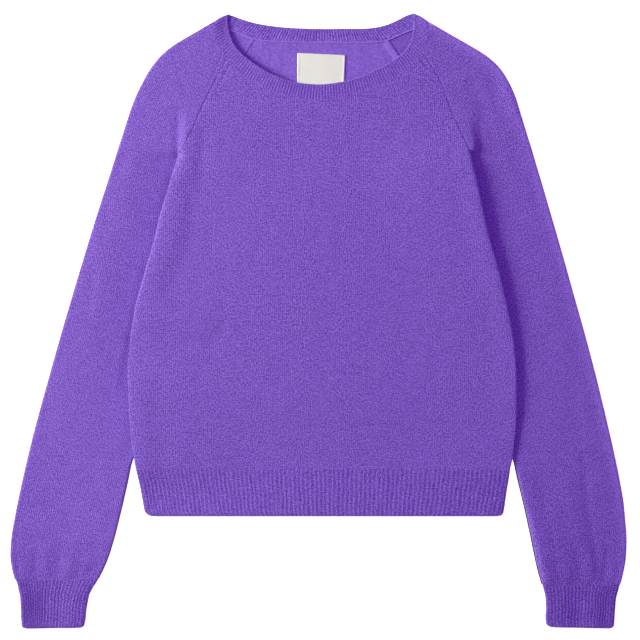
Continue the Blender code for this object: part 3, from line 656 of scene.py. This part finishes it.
rib_knit = knitted("rib_knit", 0.2)
for layer, columns, rows in (("front", HEM_RIBS * 8 - 1, 28), ("back", 118, 14)):
    x, y, share, from_edge = hem_plan(layer, columns, rows)
    wander = 0.10 * uneven(x * 0.5, y, 16.0, 21) + 0.07 * uneven(x, y * 0.6, 4.5, 23)
    wander = wander + 0.06 * uneven(x * 0.6, y, 1.9, 27)
    phase = share * (1.078 - 0.078 * share) * (HEM_RIBS + 1.5) + wander
    phase = phase - 1.0 * np.exp(-share / 0.025) + 0.5 * np.exp((share - 1.0) / 0.02)
    started = rib_ends(BODY_FOOT - y, x, 24, 0.45)
    profile = 1.0 + (ribbed(phase) - 1.0) * started
    profile = 1.0 + (profile - 1.0) * smooth(from_edge / 1.6)
    droop = -1.2 * (1.0 - smooth((y - HEM_FOOT) / 3.0))
    relief = 0.15 * uneven(x, y, 12.0, 22) * smooth((BODY_FOOT - y) / 8.0) + droop
    furrow = 0.0
    if layer == "front":
        relief = relief + RIB * (profile - 1.0)
        # Painted shade in the sunk columns, with more painted shade toward the right, away from the
        # light, and less toward the left.
        furrow = 0.97 * rib_furrow_shade(profile, x, y, 25) + (0.16 * share - 0.08) * started
        # A painted highlight along the cast-off foot.
        furrow = furrow - 0.2 * (1.0 - smooth((y - HEM_FOOT) / 9.0))
        # Painted shade at the rib's two ends, by the side folds.
        ends = np.exp(-share / 0.035) + 0.7 * np.exp((share - 1.0) / 0.02)
        furrow = furrow * (1.0 + 0.6 * ends) + 0.35 * ends * started
    outer, inner = body_wall(layer, x, y, from_edge, relief)
    outer[-1, :, 2] += -0.8 if layer == "front" else 0.5
    inner[-1, :, 2] += 0.5 if layer == "front" else -0.8
    across = (2.0 * phase + 0.5) * WALE
    hem = cloth(f"hem_rib_{layer}_knit", outer, inner, rib_knit, across, y, furrow)
    laid_flat("hem_rib_" + layer, outer)

# ------------------------------------------------------------------ sleeves
# Each sleeve is one panel sewn to a tube. Its top is narrowed along both raglans and ends at
# the neckband. It lies flat beside the body with its inner edge tucked under the body's side,
# and it is gathered where it is joined to its narrower cuff.
#   Heights, in mm, that one section of the sleeve joins: inner front edge, outer fold, and
#   inner back edge, from the neckband down to the cuff.
SLEEVE_ROWS = {
    -1: [(271.5, 309, 293.5), (235.5, 285.5, 256), (214.5, 261, 226),
         (190.5, 221, 196), (172.5, 193, 172.5), (148.5, 170, 148.5),
         (104, 118.5, 104), (51, 61, 51), (-52, -44, -52),
         (-155, -154, -155), (-222.5, -222.5, -222.5), (-267.6, -267.6, -267.6)],
    1: [(278, 309, 292), (240.5, 285, 255.5), (212, 263.5, 226),
        (192, 234.5, 195.5), (174.5, 195.5, 174.5), (148.5, 171, 148.5),
        (104, 116, 104), (51, 54, 51), (-52, -53, -52),
        (-152, -155, -152), (-225, -225, -225), (-273.6, -273.6, -273.6)],
}
#    x0      y0      x1      y1     bow   width  depth
SLEEVE_CREASES = {
    -1: [
        (-192, -6, -204, -78, 2, 4, -0.8),
        (-231, 72, -241, -6, 0, 6, -0.6),
        (-222, 120, -239, -8, 2, 9, 0.3),
        (-246, 3, -212, -9, 2, 3.5, -0.5),
        (-206, 110, -216, 20, -2, 12, -0.2),
        (-312, -170, -317, -248, 0, 5, -0.7),
        (-252, -30, -268, -150, 4, 12, 0.3),
        (-222, -60, -240, -190, -4, 10, -0.3),
    ],
    1: [
        (222, -170, 262, -330, 0, 26, 1.9),
        (272, -105, 297, -285, 4, 4.2, -0.6),
        (252, -125, 289, -278, 4, 6, 0.5),
        (262, -60, 274, -128, 0, 5, -0.4),
        (230, -145, 246, -250, 2, 6, -0.5),
        (158, 262, 182, 200, 4, 9, -0.9),
        (174, 268, 203, 196, 4, 8, -0.9),
        (194, 266, 220, 190, 3, 9, 0.9),
        (232, 60, 256, -60, -4, 12, 0.3),
        (282, -30, 300, -140, 3, 9, -0.3),
    ],
}
# The gathers above the cuffs: share of the width, how far they run up, width, depth in mm.
GATHERS = {
    -1: [(0.12, 30, 3.4, -0.5), (0.25, 24, 3.0, -0.5), (0.37, 52, 4.2, 0.8), (0.49, 34, 3.0, -0.7),
         (0.62, 50, 4.4, 0.8), (0.74, 46, 3.2, -0.7), (0.86, 30, 3.6, 0.5), (0.93, 40, 2.8, -0.5)],
    1: [(0.10, 60, 3.0, 0.5), (0.22, 70, 3.2, -0.6), (0.34, 44, 3.6, 0.5), (0.47, 56, 3.2, -0.5),
        (0.60, 84, 4.4, 0.7), (0.78, 60, 2.8, -0.9), (0.88, 40, 3.0, 0.5), (0.95, 30, 2.6, -0.4)],
}
FOLD_HIGHLIGHT = {-1: (0.0, 1.4), 1: (0.9, 0.1)}     # painted highlight on a sleeve's outer fold and on its inner edge
#       y and how much painted shade darkens the sleeve toward the cuff, where it is gathered
SHADE_TOWARD_CUFF = {-1: ((-278, -250, -215), (0.35, 0.2, 0)),
            1: ((-276, -240, -190, -110), (0.3, 0.25, 0.15, 0))}
SLEEVE_HEAD = 308.6  # mm, height of the sleeves' tops at the neckband
TUCK_IN = 17.0       # mm that the sleeve runs on under the body just below the underarm
TRIM = 0.5           # mm that a sleeve's inner edge is drawn in below the hem
#    width and steep share of the rounding of a sleeve's folds: the outer one, then the inner ones
OUTER_FOLD, INNER_FOLD = (4.0, 0.7), {-1: (3.0, 0.8), 1: (5.0, 0.4)}
#    mm that the body's edge presses it down, at heights y, and how far out from that edge
PRESS = {-1: ((-103, 32), (1.2, 3), 50), 1: ((-103, 32), (0.6, 0.6), 10)}
#    y and depth, in mm, of the groove in the sleeve at -X along the body's edge
GROOVE = ((-150, -100, -67, -30, 0, 32, 94, 150, 198, 226),
          (0.1, 0.5, 0.8, 0.75, 1.1, 0.6, 0.7, 0.7, 1.1, 0))
#    y and how far, in mm, a sleeve comes down toward its outer fold
CROWN = {-1: ((-180, -110, 0, 60), (-3.2, -1.2, -0.8, 0.3)),
         1: ((-180, -110), (0, 0))}
#    mm that the sewn edge dips under the panel's: front or back of the sleeve, outer or inner face
UNDER_SEAM = {(True, False): -1.0, (True, True): 0.5, (False, False): 0.15, (False, True): -1.0}


def sleeve_curves(side, count):
    """Inner front, outer and inner back edges of a sleeve, row by row from neck to cuff."""
    table = np.array(SLEEVE_ROWS[side])
    stations = np.linspace(0.0, len(table) - 1.0, 60)
    heights = [np.interp(stations, np.arange(len(table)), table[:, c]) for c in range(3)]
    heights = [soften(h, 6) for h in heights]
    middle = (heights[0] + heights[1]) / 2
    run = np.concatenate([[0.0], np.cumsum(np.abs(np.diff(middle)))])
    heights = [np.interp(np.linspace(0.0, run[-1], count), run, h) for h in heights]
    curves = []
    for c, h in enumerate(heights):
        found = ends_at("sleeve_" + SIDES[side], np.clip(h, heights[0][-1] + 0.5, SLEEVE_HEAD))
        edge = found[:, OUTER_END[side if c == 1 else -side]]
        if c == 0:
            high = h > UNDERARM[side]
            panel = ends_at("front_panel", np.minimum(h[high], table[0, 0] - 1.2))
            edge[high] = panel[:, OUTER_END[side]]
        if c != 1:
            body = np.interp(h, side_heights, side_ends[:, OUTER_END[side]])
            under = TUCK_IN * smooth((UNDERARM[side] + 3.0 - h) / 15.0)
            tucked = (body - side * under - edge) * side
            here = (h < UNDERARM[side] + 3.0) & (h > UNDERARM[side] - 45.0)
            drawn = np.where(here, np.minimum(tucked, 0.0), 0.0)
            drawn += TRIM * smooth((-125.0 - h) / 12.0) * smooth((h + 262.0) / 20.0)
            edge = edge + side * (drawn + (1.45 - 0.45 * side) * hump(h, -144.0, 10.0))
        curves.append(np.stack([soften(edge, 8), h], axis=1))
    for c, layer in ((0, "front"), (2, "back")):
        curves[c][0] = neck_seams[layer][raglan_corner(layer, side)]
    curves[1][:, 0] += np.interp(curves[1][:, 1], (-190.0, -160.0), (0.4, 0.0)) if side > 0 else -0.2
    curves[1][0] = SHOULDER[side][NECK_SEAM]
    return curves


def neck_dip(layer, side):
    """How the neck seam dips from a sleeve's raglan corner to the shoulder fold."""
    corner = raglan_corner(layer, side)
    seam = neck_seams[layer]
    return dip_of(evenly(seam[corner::-1] if side < 0 else seam[corner:], 120))


def sleeve_relief(side, x, y, share, from_inner, from_fold, sewn):
    """Creases, groove and gathers of a sleeve, in mm, which die out toward its edges."""
    outside = (x - fold_at(side, y)) * side
    relief = creased(x, y, SLEEVE_CREASES[side]) + 0.12 * uneven(x, y, 13.0, 31 + side)
    relief += 0.04 * uneven(x, y, 5.0, 35 + side)
    if side < 0:
        groove_width = np.interp(y, (94.0, 150.0), (3.4, 4.5))
        relief -= np.interp(y, *GROOVE) * hump(outside, 0.2, groove_width)
    down = y - y[-1:, :]
    for place, run, width, depth in GATHERS[side]:
        off = (share - place) * (from_inner + from_fold)
        relief += depth * hump(off, 0.0, width) * (1.0 - smooth(down / run))
    relief *= smooth(from_fold / 8.0) * np.maximum(smooth(from_inner / 6.0), sewn)
    return relief * smooth((down + 1.0) / 9.0)


def pressed(side, x, y):
    """How far, in mm, the body's edge presses a sleeve down."""
    low, far, wide = PRESS[side]
    outside = (x - fold_at(side, y)) * side
    press = np.interp(y, low, far) * smooth((wide - 2.0 - outside) / wide)
    return press * off_hem(y) * (1.0 - smooth((y - 170.0) / 60.0))


def crowned(side, y, share):
    """How far, in mm, a sleeve or cuff comes down toward its outer fold."""
    return np.interp(y, *CROWN[side]) * np.clip((share - 0.42) / 0.58, 0.0, 1.0) ** 2


def make_sleeve(side, finish, inside):
    rows = 250
    front_edge, fold, back_edge = sleeve_curves(side, rows)
    fade = np.clip(1.0 - np.arange(rows) / 18.0, 0.0, 1.0) ** 2
    halves = []
    for edge, layer, between in ((front_edge, "front", 36), (back_edge, "back", 22)):
        top = layer == "front"
        length = np.linalg.norm(fold - edge, axis=1)[:, None]
        share = np.concatenate([-UNDERLAP / length, columns_across(length, between)], axis=1)
        plan = laid_between(edge, fold, share, neck_dip(layer, side), fade)
        x, y = plan[:, :, 0], plan[:, :, 1]
        from_inner, from_fold = share * length, (1.0 - share) * length
        sewn = open_seam(side, y)
        seam, furrow = raglan_seam(side, np.abs(from_inner), y, y[0, 0], False)
        # Painted highlights on the outer fold and the inner edge, then painted shade toward the
        # cuff.
        furrow = furrow - FOLD_HIGHLIGHT[side][0] * hump(from_fold, 0.0, 8.0)
        furrow = furrow - FOLD_HIGHLIGHT[side][1] * hump(from_inner, 0.0, 1.5) * (1.0 - sewn)
        furrow = furrow + np.interp(y, *SHADE_TOWARD_CUFF[side])
        level = STACK - crowned(side, y, share) + lift(x, y) * sewn
        level = level - pressed(side, x, y) * (1.0 - sewn)
        relief = sleeve_relief(side, x, y, share, from_inner, from_fold, sewn) + seam
        half = STACK / 2.0
        middle = half + (GAP if top else -GAP) / 2.0
        round_inner = fold_profile(np.maximum(from_inner, 0.0), *INNER_FOLD[side])
        faces = []
        for inward in (0.0, CLOTH):
            here = np.full_like(x, inward)
            if top:
                here = np.minimum(level, STACK) - CLOTH if inward else level + relief
            z = half + (here - half) * fold_profile(from_fold, *OUTER_FOLD)
            z = z + (middle - z) * (1.0 - sewn) * (1.0 - round_inner)
            under = UNDER_SEAM[top, inward > 0.0]
            z = z + under * sewn * (from_inner < 0)
            slip = (1.0 - sewn) * (1.0 - np.clip(from_inner / 6.0, 0.0, 1.0))
            slip = inward * (slip - (1.0 - np.clip(from_fold / ROLL, 0.0, 1.0)))
            faces.append(np.stack([x + side * slip, y, z], axis=-1))
        across = (from_inner + (-from_fold if top else 3.0 * from_fold)) / 2.0
        halves.append((*faces, across, furrow * top))
    outer, inner, across, furrow = (np.concatenate([front, back[:, ::-1][:, 1:]], axis=1)
                                    for front, back in zip(*halves))
    along = run_along((front_edge + fold) / 2)[:, None]
    node = "sleeve_" + SIDES[side]
    sleeve = cloth(node + "_knit", outer, inner, finish, across, along, furrow,
                   inside=inside)
    laid_flat(node, outer)


# A darker copy of the purl side, painted shade, for the inside of the sleeve at +X that shows in the
# neck opening.
shaded_inside = knitted("sleeve_inside_shaded", 0.10, shade=-0.06, fibres=0.35, purl=True)
make_sleeve(-1, knitted("right_sleeve_knit", 0.25, fibres=0.86), back_knit)
make_sleeve(1, knitted("left_sleeve_knit", 0.25, fibres=1.08), shaded_inside)

# ------------------------------------------------------------------ cuffs
# A tube of the same rib at the end of each sleeve, narrower than the sleeve and a little
# wavy where it closes. Its open end is a soft cast-off edge.
CUFF_RIBS = 20
CUFF_DEPTH = 43.0    # mm, and how far down it its rows of points lie
CUFF_ROWS = np.concatenate([[0.0, 1.0, 2.2, 3.4], np.linspace(4.8, 38.0, 20),
                            [39.4, 40.6, 41.6, 42.4, CUFF_DEPTH]])
#       share of the width past which the ribs lie closer, and how much closer; past it the cuff gets
#       more painted shade
CUFF_DRAWN = {-1: (0.66, 0.45), 1: (0.7, 0.25)}
CUFF_SLANT = {-1: 0.7, 1: 1.3}       # mm that the cast-off edge rises from the outer fold inward
CUFF_DARK = {-1: 0.78, 1: 1.15}      # how dark the painted shade in the furrows between the ribs is
CUFF_FOOT_HIGHLIGHT = {-1: 0.15, 1: 0.3}       # how strong the painted highlight along the cast-off edge is
#    mm that a cuff's top dips under the sleeve's end: front or back, outer or inner face
UNDER_SLEEVE = {(True, False): -0.8, (True, True): 0.5, (False, False): 0.15, (False, True): -0.8}
#    the same as HEM_CORNER, at the inner edge and at the outer fold
CUFF_CORNER = {-1: ((8.0, 3.8, 0.8), (8.0, 3.2, 0.4)), 1: ((8.0, 5.6, 1.1), (8.0, 3.6, 0.2))}
CUFF_TOP = {-1: (1.1, -0.6), 1: (0.5, 0.2)}      # mm, the same at the top of the cuff
#    share of the width, width, depth in mm of the soft waves in each cuff
CUFF_WAVES = {-1: [(0.2, 8, 0.5), (0.42, 6, -0.4), (0.6, 6, -0.3), (0.96, 14, 1.2)],
              1: [(0.2, 6, 0.4), (0.45, 6, -0.6), (0.7, 7, 0.4), (0.86, 5, -0.4)]}


def make_cuff(side, finish):
    cuff = "cuff_" + SIDES[side]
    low, high = (corner.y * 1000.0 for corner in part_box(cuff))
    low, high = low - 0.6, high + RIB_RISE - 0.2
    length = high + 0.2 - low
    heights = high + 0.2 - CUFF_ROWS / CUFF_DEPTH * length
    far = ends_at(cuff, np.clip(heights, low + 0.9, high - RIB_RISE - 0.2))
    above = heights > high - RIB_RISE + 0.6
    far[above] = ends_at("sleeve_" + SIDES[side], heights[above] + 0.4)
    up = heights - low
    for c, out in ((0, -side), (1, side)):
        k = OUTER_END[out]
        far[:, k] = cast_off(far[:, k], up, out, slice(14, 22), CUFF_CORNER[side][c], (19.0, 9.0))
        far[:, k] += out * CUFF_TOP[side][c] * hump(heights, high - 3.0 - 3.0 * c, 4.0)
    heights = np.append(heights[0] + UNDERLAP, heights)
    edge, fold = (np.append(far[0, k], far[:, k])[:, None]
                  for k in (OUTER_END[-side], OUTER_END[side]))
    width = np.abs(fold - edge)
    halves = []
    for top, between in ((True, CUFF_RIBS * 8 - 2), (False, 38)):
        share = columns_across(width, between, 7)
        x = edge + share * (fold - edge)
        y = np.broadcast_to(heights[:, None], x.shape)
        y = y + CUFF_SLANT[side] * (1.0 - share) * (1.0 - smooth((y - low) / length))
        from_edge = np.minimum(share, 1.0 - share) * width
        wave = sum(depth * hump((share - place) * width, 0.0, size)
                   for place, size, depth in CUFF_WAVES[side])
        wave = wave * smooth((high - y) / 20.0)
        wander = 0.10 * uneven(x, y, 12.0, 41 + side) + 0.06 * uneven(x, y * 0.6, 4.0, 43 + side)
        wander = wander + 0.05 * uneven(x * 0.6, y, 1.9, 44 + side)
        place, closer = CUFF_DRAWN[side]
        drawn = np.maximum(share - place, 0.0)
        phase = (share + closer * drawn) * (CUFF_RIBS + 1.0) + wander
        started = rib_ends(high - y, x, 45 + side, 0.5)
        profile = 1.0 + (ribbed(phase) - 1.0) * started * smooth(from_edge / 2.5)
        droop = -1.0 * (1.0 - smooth((y - low) / 3.0))
        crown = crowned(side, y, share) * smooth((y - low) / 30.0)
        half = STACK / 2.0
        faces = []
        for inward in (0.0, CLOTH):
            here = np.full_like(x, inward)
            if top:
                here = STACK - inward - crown
                here = here + (0.0 if inward else wave + RIB * (profile - 1.0) + droop)
            z = half + (here - half) * fold_profile(from_edge, ROLL, 0.4)
            z[0] += UNDER_SLEEVE[top, inward > 0.0]
            inset = inward * (1.0 - np.clip(from_edge / ROLL, 0.0, 1.0)) * np.sign(share - 0.5)
            faces.append(np.stack([x - side * inset, y, z], axis=-1))
        across = (2.0 * (phase if top else 2.0 * phase[:, -1:] - phase) + 0.5) * WALE
        # Painted shade in the rib furrows, fainter where the ribs lie closer; the whole cuff a
        # little darker; more painted shade toward the outer fold; a painted highlight along the
        # cast-off edge.
        dark = rib_furrow_shade(profile, x, y, 47 + side) * (1.0 - 0.5 * smooth(drawn / 0.1))
        dark = CUFF_DARK[side] * dark + 0.3 + 0.25 * smooth(drawn / 0.2)
        dark = dark - CUFF_FOOT_HIGHLIGHT[side] * (1.0 - smooth((y - low - 2.0) / 8.0))
        halves.append((*faces, across, dark * top))
    outer, inner, across, furrow = (
        np.concatenate([front[:, 1:], back[:, ::-1][:, 1:], front[:, 1:2]], axis=1)
        for front, back in zip(*halves))
    across[:, -1] = halves[1][2][:, 0]
    piece = cloth(cuff + "_knit", outer, inner, finish, across, heights[:, None],
                  furrow)
    laid_flat(cuff, outer)


for side in (-1, 1):
    make_cuff(side, rib_knit)

# ------------------------------------------------------------------ neckband
# A strip of 1x1 rib linked round the neck. Its front half lies over the opening and its back
# half shows its inner face. The neck edge is a soft lip, and the ribs die out at the seam.
BAND_RIB_PITCH = {True: 3.0, False: 2.86}    # mm, front and back
BAND_WIDTH = 17.0
BAND_LOW = 0.5       # mm that the back half, which lies lower, stands out past its solid
BAND_WALL = 2.2
BAND_ROLL = 4.5
BAND_ACROSS = np.array([0.0, 0.008, 0.02, 0.04, 0.09, 0.16, 0.24, 0.34, 0.45, 0.56, 0.67, 0.78,
                        0.86, 0.93, 0.96, 0.985, 1.01, 1.06])


def band_half(front):
    """Outer points, inner points, run along the band, rib phase and furrow of half the band."""
    neck, seam = band_curve(front, NECK_EDGE), band_curve(front, NECK_SEAM)
    middle = (neck + seam) / 2
    run = run_along(middle)
    length = run[-1]
    ribs = round(length / BAND_RIB_PITCH[front])
    at = np.linspace(0.0, length, ribs * 8 + 1)
    neck, seam, middle = (points_at(curve, run, at) for curve in (neck, seam, middle))
    at = at[:, None]
    near_end = np.minimum(at, length - at)
    round_off = roll(near_end, BAND_ROLL)
    v = BAND_ACROSS[None, :]
    plan = neck[:, None] + v[:, :, None] * (seam - neck)[:, None]
    plan[:, :, 1] += 0.0 if front else BAND_LOW * np.sin(math.pi * at / length) ** 0.4
    for end, side in ((at, -1), (length - at, 1)):
        tip, foot = (np.array(place) for place in SHOULDER[side])
        out = np.array([side * (tip - foot)[1], side * (foot - tip)[0]]) / np.linalg.norm(foot - tip)
        bulge = 4.0 * v * np.clip(1.0 - v, 0.0, 1.0) * hump(end, 0.0, 7.0)
        plan = plan + bulge[:, :, None] * out
    wander = 0.07 * uneven(at, v * BAND_WIDTH, 9.0, 51 + front)
    wander += 0.04 * uneven(at, v * 10.0, 4.0, 53 + front)
    wander += 0.02 * uneven(at, v * BAND_WIDTH, 1.9, 56 + front)
    phase = at / length * ribs + wander
    started = rib_ends((1.10 - v) * BAND_WIDTH, at, 57 + front)
    profile = 1.0 + (ribbed(phase) - 1.0) * started * smooth((v - 0.02) / 0.1)
    face = (1.1 if front else 1.4) * RIB * (profile - 1.0) - 1.3 * (1.0 - roll(v, 0.05))
    face = face + 0.05 * uneven(plan[:, :, 0], plan[:, :, 1], 10.0, 55) + 0.15 * hump(v, 0.09, 0.05)
    pinch = hump(near_end, 0.0, 26.0) * (1.0 - smooth(v / 0.9)) * front
    curl = 1.4 * hump(at, 88.0, 26.0) * (1.0 - smooth(v / 1.1)) * front
    half = STACK / 2.0
    inward = np.gradient(middle, axis=0)
    inward /= np.linalg.norm(inward, axis=1, keepdims=True)
    inward[len(at) // 2:] *= -1.0
    shift = inward * BAND_WALL * (1.0 - np.clip(near_end / BAND_ROLL, 0.0, 1.0))
    faces = []
    for depth in (0.0, BAND_WALL):
        level = (STACK - depth if front else depth) - pinch * (1.2 if depth else 2.4) + curl
        shown = front == (depth == 0.0)
        z = half + (level - half + face * shown) * round_off
        z[:, -1] += -0.8 if shown else 0.5
        where = plan + (shift[:, None] if depth else 0.0)
        faces.append(np.concatenate([where, z[:, :, None]], axis=-1))
    # Painted shade in the rib furrows. The back half's is stronger; that half is paler as a whole,
    # darker toward its seam, and dark in a line where its ribs end at the linking.
    furrow = rib_furrow_shade(profile, at, v * BAND_WIDTH, 59 + front, 0.1)
    if front:
        furrow = 0.8 * furrow + 0.03 * started
    else:
        furrow = 1.7 * furrow - 0.4 + 0.25 * smooth((v - 0.6) / 0.25)
        furrow = furrow + 0.4 * hump(v, 0.985, 0.03) * (at < 0.75 * length)
    return *faces, (2.0 * phase + 0.5) * WALE, furrow


band_halves = band_half(True), band_half(False)
outer, inner, across, furrow = (np.concatenate([front, back[::-1][1:-1]])
                                for front, back in zip(*band_halves))
front_count = len(band_halves[0][2])
across[front_count:] = across[front_count - 1] + band_halves[1][2][-1] - across[front_count:]
band_knit = knitted("band_knit", 0.15, fibres=0.8)
neckband = cloth("neckband_knit", outer, inner, band_knit, across, BAND_ACROSS * BAND_WIDTH,
                 furrow, ring=True)
laid_flat("neckband", outer)

# ------------------------------------------------------------------ linked seams at the back
# The back panel is linked to the neckband stitch by stitch, and the back raglans are sewn with
# a narrow allowance. Inside, both stand up as soft beaded ridges, pressed over to one side.
RIDGE_STEP = 0.45    # mm from one row of a ridge's points to the next
RIDGE_COLUMNS = np.array([-1.0, -0.94, -0.8, -0.55, -0.25, 0.0, 0.25, 0.55, 0.8, 0.94, 1.0])


def linked_ridge(name, path, reach_left, reach_right, height, foot, foot_shade, pale, seed):
    """A raised seam along a path in plan, with painted shade at its foot on the right of its way."""
    path = evenly(path, int(run_along(path)[-1] / RIDGE_STEP))
    way = np.gradient(path, axis=0)
    way /= np.linalg.norm(way, axis=1, keepdims=True)
    offset = RIDGE_COLUMNS * np.where(RIDGE_COLUMNS < 0.0, reach_left, reach_right)
    side = np.stack([way[:, 1], -way[:, 0]], axis=1)
    plan = path[:, None] + offset[None, :, None] * side[:, None]
    run = np.arange(len(path))[:, None] * RIDGE_STEP
    bead = 0.8 + 0.3 * np.abs(np.sin(math.pi * run / 2.4))
    bead = bead + 0.15 * uneven(run, offset * 3.0, 3.0, seed)
    z = foot + height * bead * np.sqrt(1.0 - RIDGE_COLUMNS ** 2)
    outer, inner = (np.concatenate([plan, level[:, :, None]], axis=-1)
                    for level in (z, np.full_like(z, foot - 0.5)))
    # Painted shade along the right foot. The paler crest is partly the seam's paler fibres and
    # partly painted highlight.
    furrow = foot_shade * smooth(RIDGE_COLUMNS / 0.4)
    furrow = furrow - pale * (2.0 * bead - 0.95) * hump(RIDGE_COLUMNS, -0.3, 0.6)
    cloth(name, outer, inner, back_knit, run, offset, furrow)


seam = neck_seams["back"]
linked_ridge("linked_seam_neck", seam[6:-6] + (0.0, -0.4), 0.75, 0.75, 0.9, CLOTH, 0.0, 0.9, 71)
for side, left, right in ((-1, 2.4, 1.5), (1, 5.4, 2.2)):
    corner = seam[raglan_corner("back", side)]
    heights = np.linspace(corner[1] - 1.5, 262.0, 12)
    edge = ends_at("back_panel", heights)[:, OUTER_END[side]]
    path = np.concatenate([[corner], np.stack([edge, heights], axis=1)])[::-1]
    path = path + (1.0 if side > 0 else -1.4, 0.0)
    linked_ridge("linked_seam_raglan_" + SIDES[side], path, left, right, 0.6 + 0.25 * side,
                 CLOTH - 0.1, 0.7 - 0.2 * side, 0.15 + 0.1 * side, 75 + side)

# ------------------------------------------------------------------ size label
# A plain cream woven label with turned edges, sewn inside the back neck along its top. Its
# foot lies under the front of the neckband. It carries no words.
label_low, label_high = (np.array(corner) * 1000.0 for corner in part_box("neck_label"))
LABEL_TURN = -0.042  # radians
LABEL_SIZE = 50.0    # mm


def woven():
    """A plain cream weave, with its warp and weft laid out by the label's own knit map."""
    finish, sockets = new_finish("label_weave", {"Roughness": 0.75, "Sheen Weight": 0.15})
    places = Yarn(finish.node_tree).node("Attribute", {"attribute_name": "knit"}, output="Vector")
    split_x = places.node("SeparateXYZ", {}, {0: places})
    split_y = places.node("SeparateXYZ", {}, {0: places}, "Y")
    warp = split_x.sum_of("SINE", split_x * (2 * math.pi / 0.0005)) * 0.5 + 0.5
    weft = split_y.sum_of("SINE", split_y * (2 * math.pi / 0.0006)) * 0.5 + 0.5
    slub = places.node("TexNoise", {}, {"Vector": places, "Scale": 500.0, "Detail": 2.0})
    tone = warp * weft * 0.25 + slub * 0.5 + 0.15
    colour = tone.node("ValToRGB", {"stops": [(0.2, (0.74, 0.70, 0.64, 1.0)),
                                              (0.6, (0.89, 0.855, 0.80, 1.0))]}, {0: tone})
    colour.feed(sockets["Base Color"])
    height = warp * weft * 0.08 + slub * 0.05
    bump = height.node("Bump", {}, {"Strength": 0.6, "Distance": 0.001, "Height": height})
    bump.feed(sockets["Normal"])
    return finish


steps = np.concatenate([[0.0, 0.3, 0.8, 1.6], np.linspace(3.0, 47.0, 23), [48.4, 49.2, 49.7, 50.0]])
half = LABEL_SIZE / 2
across, down = np.meshgrid(steps - half, half - steps)
corner_cut = 0.25 * np.abs(across * down / half ** 2) ** 14
u, v = (way * (1.0 - corner_cut / half) for way in (across, down))
centre = (label_low + label_high) / 2
x = centre[0] + 1.4 + u - 0.05 * (22.0 - down) * np.clip(across / half, 0.0, 1.0)
y = centre[1] + u * math.sin(LABEL_TURN) + v
edge = half - np.maximum(np.abs(across), np.abs(down))
turned = 0.28 * hump(edge, 0.7, 0.6) - 0.4 * (1.0 - smooth(edge / 0.5))
z = label_high[2] + turned + 0.25 * uneven(x, y, 18.0, 61) * smooth(edge / 5.0)
z -= 0.35 * smooth((across + 5.0) / 28.0)
outer, inner = (np.stack([x, y, level], axis=-1)
                for level in (z, np.minimum(z - 0.3, label_low[2] + 0.1)))
label = cloth("neck_label_woven", outer, inner, woven(), across, down)
laid_flat("neck_label", outer)

# ------------------------------------------------------------------ light, floor and camera
# A plain white table, one wide soft light low on the left, a weak wide one above, and the
# camera straight over the middle of the sweater.
floor_mesh = bpy.data.meshes.new("floor")
floor_mesh.from_pydata([(-4, -4, 0), (4, -4, 0), (4, 4, 0), (-4, 4, 0)], [], [(0, 1, 2, 3)])
floor = bpy.data.objects.new("floor", floor_mesh)
bpy.context.scene.collection.objects.link(floor)
floor.location.z = -0.0004
TABLE_WHITE = {"Base Color": (0.93, 0.93, 0.93, 1.0), "Roughness": 0.9,
               "Emission Color": (1.0, 1.0, 1.0, 1.0), "Emission Strength": 0.85}
floor_mesh.materials.append(new_finish("table_white", TABLE_WHITE)[0])


# The fill is light that the purple cloth has tinted, and the key makes it up to white.
KEY_TINT = (0.80, 1.07, 0.63)
FILL_TINT = (0.70, 0.375, 0.97)


def soft_light(name, place, size, power, tint):
    lamp = bpy.data.lights.new(name, "AREA")
    lamp.shape, lamp.size, lamp.size_y = "RECTANGLE", size[0], size[1]
    lamp.energy, lamp.color = power, tint
    made = bpy.data.objects.new(name, lamp)
    bpy.context.scene.collection.objects.link(made)
    made.location = place
    made.rotation_mode = "QUATERNION"
    made.rotation_quaternion = (-made.location).to_track_quat("-Z", "Y")


soft_light("key", (-1.9, 0.55, 0.84), (0.8, 0.75), 81.0, KEY_TINT)
soft_light("side", (2.2, 0.2, 1.4), (1.0, 1.0), 4.0, FILL_TINT)
soft_light("top", (0.1, 0.3, 3.2), (2.4, 2.4), 32.0, FILL_TINT)
world = bpy.data.worlds.new("room")
bpy.context.scene.world = world
world.use_nodes = True
world.node_tree.nodes["Background"].inputs["Color"].default_value = (*FILL_TINT, 1.0)
world.node_tree.nodes["Background"].inputs["Strength"].default_value = 0.25
bpy.context.scene.view_settings.view_transform = "Standard"

camera_data = bpy.data.cameras.new("camera")
camera_data.lens, camera_data.sensor_width = 100.0, 36.0
camera = bpy.data.objects.new("camera", camera_data)
bpy.context.scene.collection.objects.link(camera)
camera.location = (0.0016, 0.0011, 1.8521)
bpy.context.scene.camera = camera
